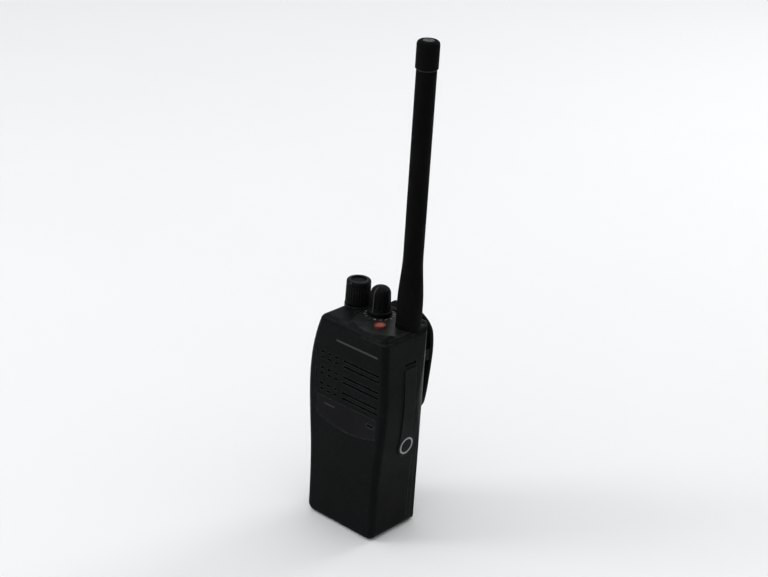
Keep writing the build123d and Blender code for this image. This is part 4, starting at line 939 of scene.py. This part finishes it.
def clip_cheeks():
    """The two ears that carry the hinge pin: round at the back, and straight where they join the lever."""
    pin = middle("clip_pin")
    bore, round_end, reach = 1.3, 3.4, 5.1
    inner_side = [(EAR_INNER_X, False), (EAR_INNER_X, True)]
    outer_side = [(EAR_OUTER_X, True), (EAR_OUTER_X, False)]
    sections = inner_side + outer_side + inner_side[:1]
    count = 64
    mesh = bmesh.new()
    for side in (-1, 1):
        rings = []
        for x, outside in sections:
            ring = []
            for index in range(count):
                turn = math.tau * index / count
                along, up = math.cos(turn), math.sin(turn)
                edge = round_end
                if along > 0:
                    edge = min(reach / max(along, 1e-6), round_end / max(abs(up), 1e-6))
                distance = edge if outside else bore
                ring.append((side * x, pin.y + distance * along, pin.z + distance * up))
            rings.append(ring)
        loft(rings, mesh, close=False)
    bmesh.ops.remove_doubles(mesh, verts=mesh.verts, dist=1e-4)
    return piece("clip_cheeks", mesh, LOOKS["trim"], "clip", bevel=0.25)


# ---- the floor, the light and the camera, in metres ----
FLOOR_REACH = 40
RADIO_MIDDLE = (0, 0, 0.12)
CAMERA_PLACE = Vector((0.579, -0.665, 0.539))
CAMERA_AIM = Vector((0.004, 0.003, 0.142))
CAMERA_LEAN = math.radians(3.7)
CAMERA_LENS = 84
LIGHT_FROM = (-0.72, -0.5, 0.48)


def floor():
    """Plain pale floor, wider than any view."""
    mesh = bmesh.new()
    bmesh.ops.create_grid(mesh, x_segments=2, y_segments=2, size=FLOOR_REACH)
    data = bpy.data.meshes.new("floor")
    mesh.to_mesh(data)
    mesh.free()
    look = Look("floor", rough=0.8, gloss=0.1)
    look.colour(look.mix(look.noise(180, 2), (0.8, 0.8, 0.8), (0.82, 0.82, 0.82)))
    data.materials.append(look.material)
    made = bpy.data.objects.new("floor", data)
    bpy.context.scene.collection.objects.link(made)


def facing(place, aim):
    """Rotation that turns a light or camera at place towards aim."""
    return (Vector(aim) - Vector(place)).to_track_quat("-Z", "Y")


def soft_box(name, place, aim, width, height, power, tint=(1, 1, 1)):
    """Rectangular light that faces its aim."""
    light = bpy.data.lights.new(name, "AREA")
    light.shape = "RECTANGLE"
    light.size = width
    light.size_y = height
    light.energy = power
    light.color = tint
    holder = bpy.data.objects.new(name, light)
    bpy.context.scene.collection.objects.link(holder)
    holder.location = place
    holder.rotation_mode = "QUATERNION"
    holder.rotation_quaternion = facing(place, aim)


def surroundings():
    """A plain pale background to the camera; as light, brighter from the front left than from the right."""
    world = bpy.data.worlds.new("studio")
    bpy.context.scene.world = world
    world.use_nodes = True
    tree = world.node_tree
    light = tree.nodes["Background"]
    light.inputs["Color"].default_value = (0.93, 0.95, 1.0, 1)
    towards = tree.nodes.new("ShaderNodeVectorMath")
    towards.operation = "DOT_PRODUCT"
    towards.inputs[1].default_value = LIGHT_FROM
    tree.links.new(tree.nodes.new("ShaderNodeTexCoord").outputs["Generated"], towards.inputs[0])
    strength = tree.nodes.new("ShaderNodeMapRange")
    strength.inputs["From Min"].default_value = -0.5
    strength.inputs["From Max"].default_value = 0.9
    strength.inputs["To Min"].default_value = 0.04
    strength.inputs["To Max"].default_value = 0.45
    tree.links.new(towards.outputs["Value"], strength.inputs["Value"])
    tree.links.new(strength.outputs["Result"], light.inputs["Strength"])
    seen = tree.nodes.new("ShaderNodeBackground")
    seen.inputs["Color"].default_value = (0.9, 0.9, 0.9, 1)
    rays = tree.nodes.new("ShaderNodeLightPath")
    choice = tree.nodes.new("ShaderNodeMixShader")
    tree.links.new(rays.outputs["Is Camera Ray"], choice.inputs[0])
    tree.links.new(light.outputs[0], choice.inputs[1])
    tree.links.new(seen.outputs[0], choice.inputs[2])
    tree.links.new(choice.outputs[0], tree.nodes["World Output"].inputs["Surface"])


def camera():
    """The photograph's viewpoint, with a display gamma a little under 1 for its harder contrast."""
    data = bpy.data.cameras.new("camera")
    holder = bpy.data.objects.new("camera", data)
    bpy.context.scene.collection.objects.link(holder)
    data.sensor_width = 36
    data.lens = CAMERA_LENS
    data.clip_start, data.clip_end = 0.01, 60
    holder.location = CAMERA_PLACE
    holder.rotation_mode = "QUATERNION"
    holder.rotation_quaternion = facing(CAMERA_PLACE, CAMERA_AIM) @ Quaternion((0, 0, 1), CAMERA_LEAN)
    bpy.context.scene.camera = holder
    bpy.context.scene.view_settings.view_transform = "Standard"
    bpy.context.scene.view_settings.gamma = 0.9


volume_dial()
volume_mark()
channel_dial()
channel_pointer()
channel_numbers()
antenna_rod()
antenna_tip()
antenna_top_highlight()
antenna_band()
call_button_rim()
call_button_cap()
side_pad("ptt_pad", "ptt_button", "ptt", ribs(7, 2.1, 3.6))
side_pad("upper_pad", "upper_side_button", "upper_side_button", dimple(1.4))
side_pad("lower_pad", "lower_side_button", "lower_side_button", dimple(2.0))
belt_clip()
clip_cheeks()
floor()
surroundings()
soft_box("overhead", (0, 0, 5.0), (0, 0, 0), 24, 24, 1330)
soft_box("key", (-0.9, -0.95, 0.85), RADIO_MIDDLE, 0.45, 0.65, 6, (0.92, 1.0, 0.96))
soft_box("rim", (0.15, 1.3, 0.95), RADIO_MIDDLE, 0.5, 0.5, 5)
camera()
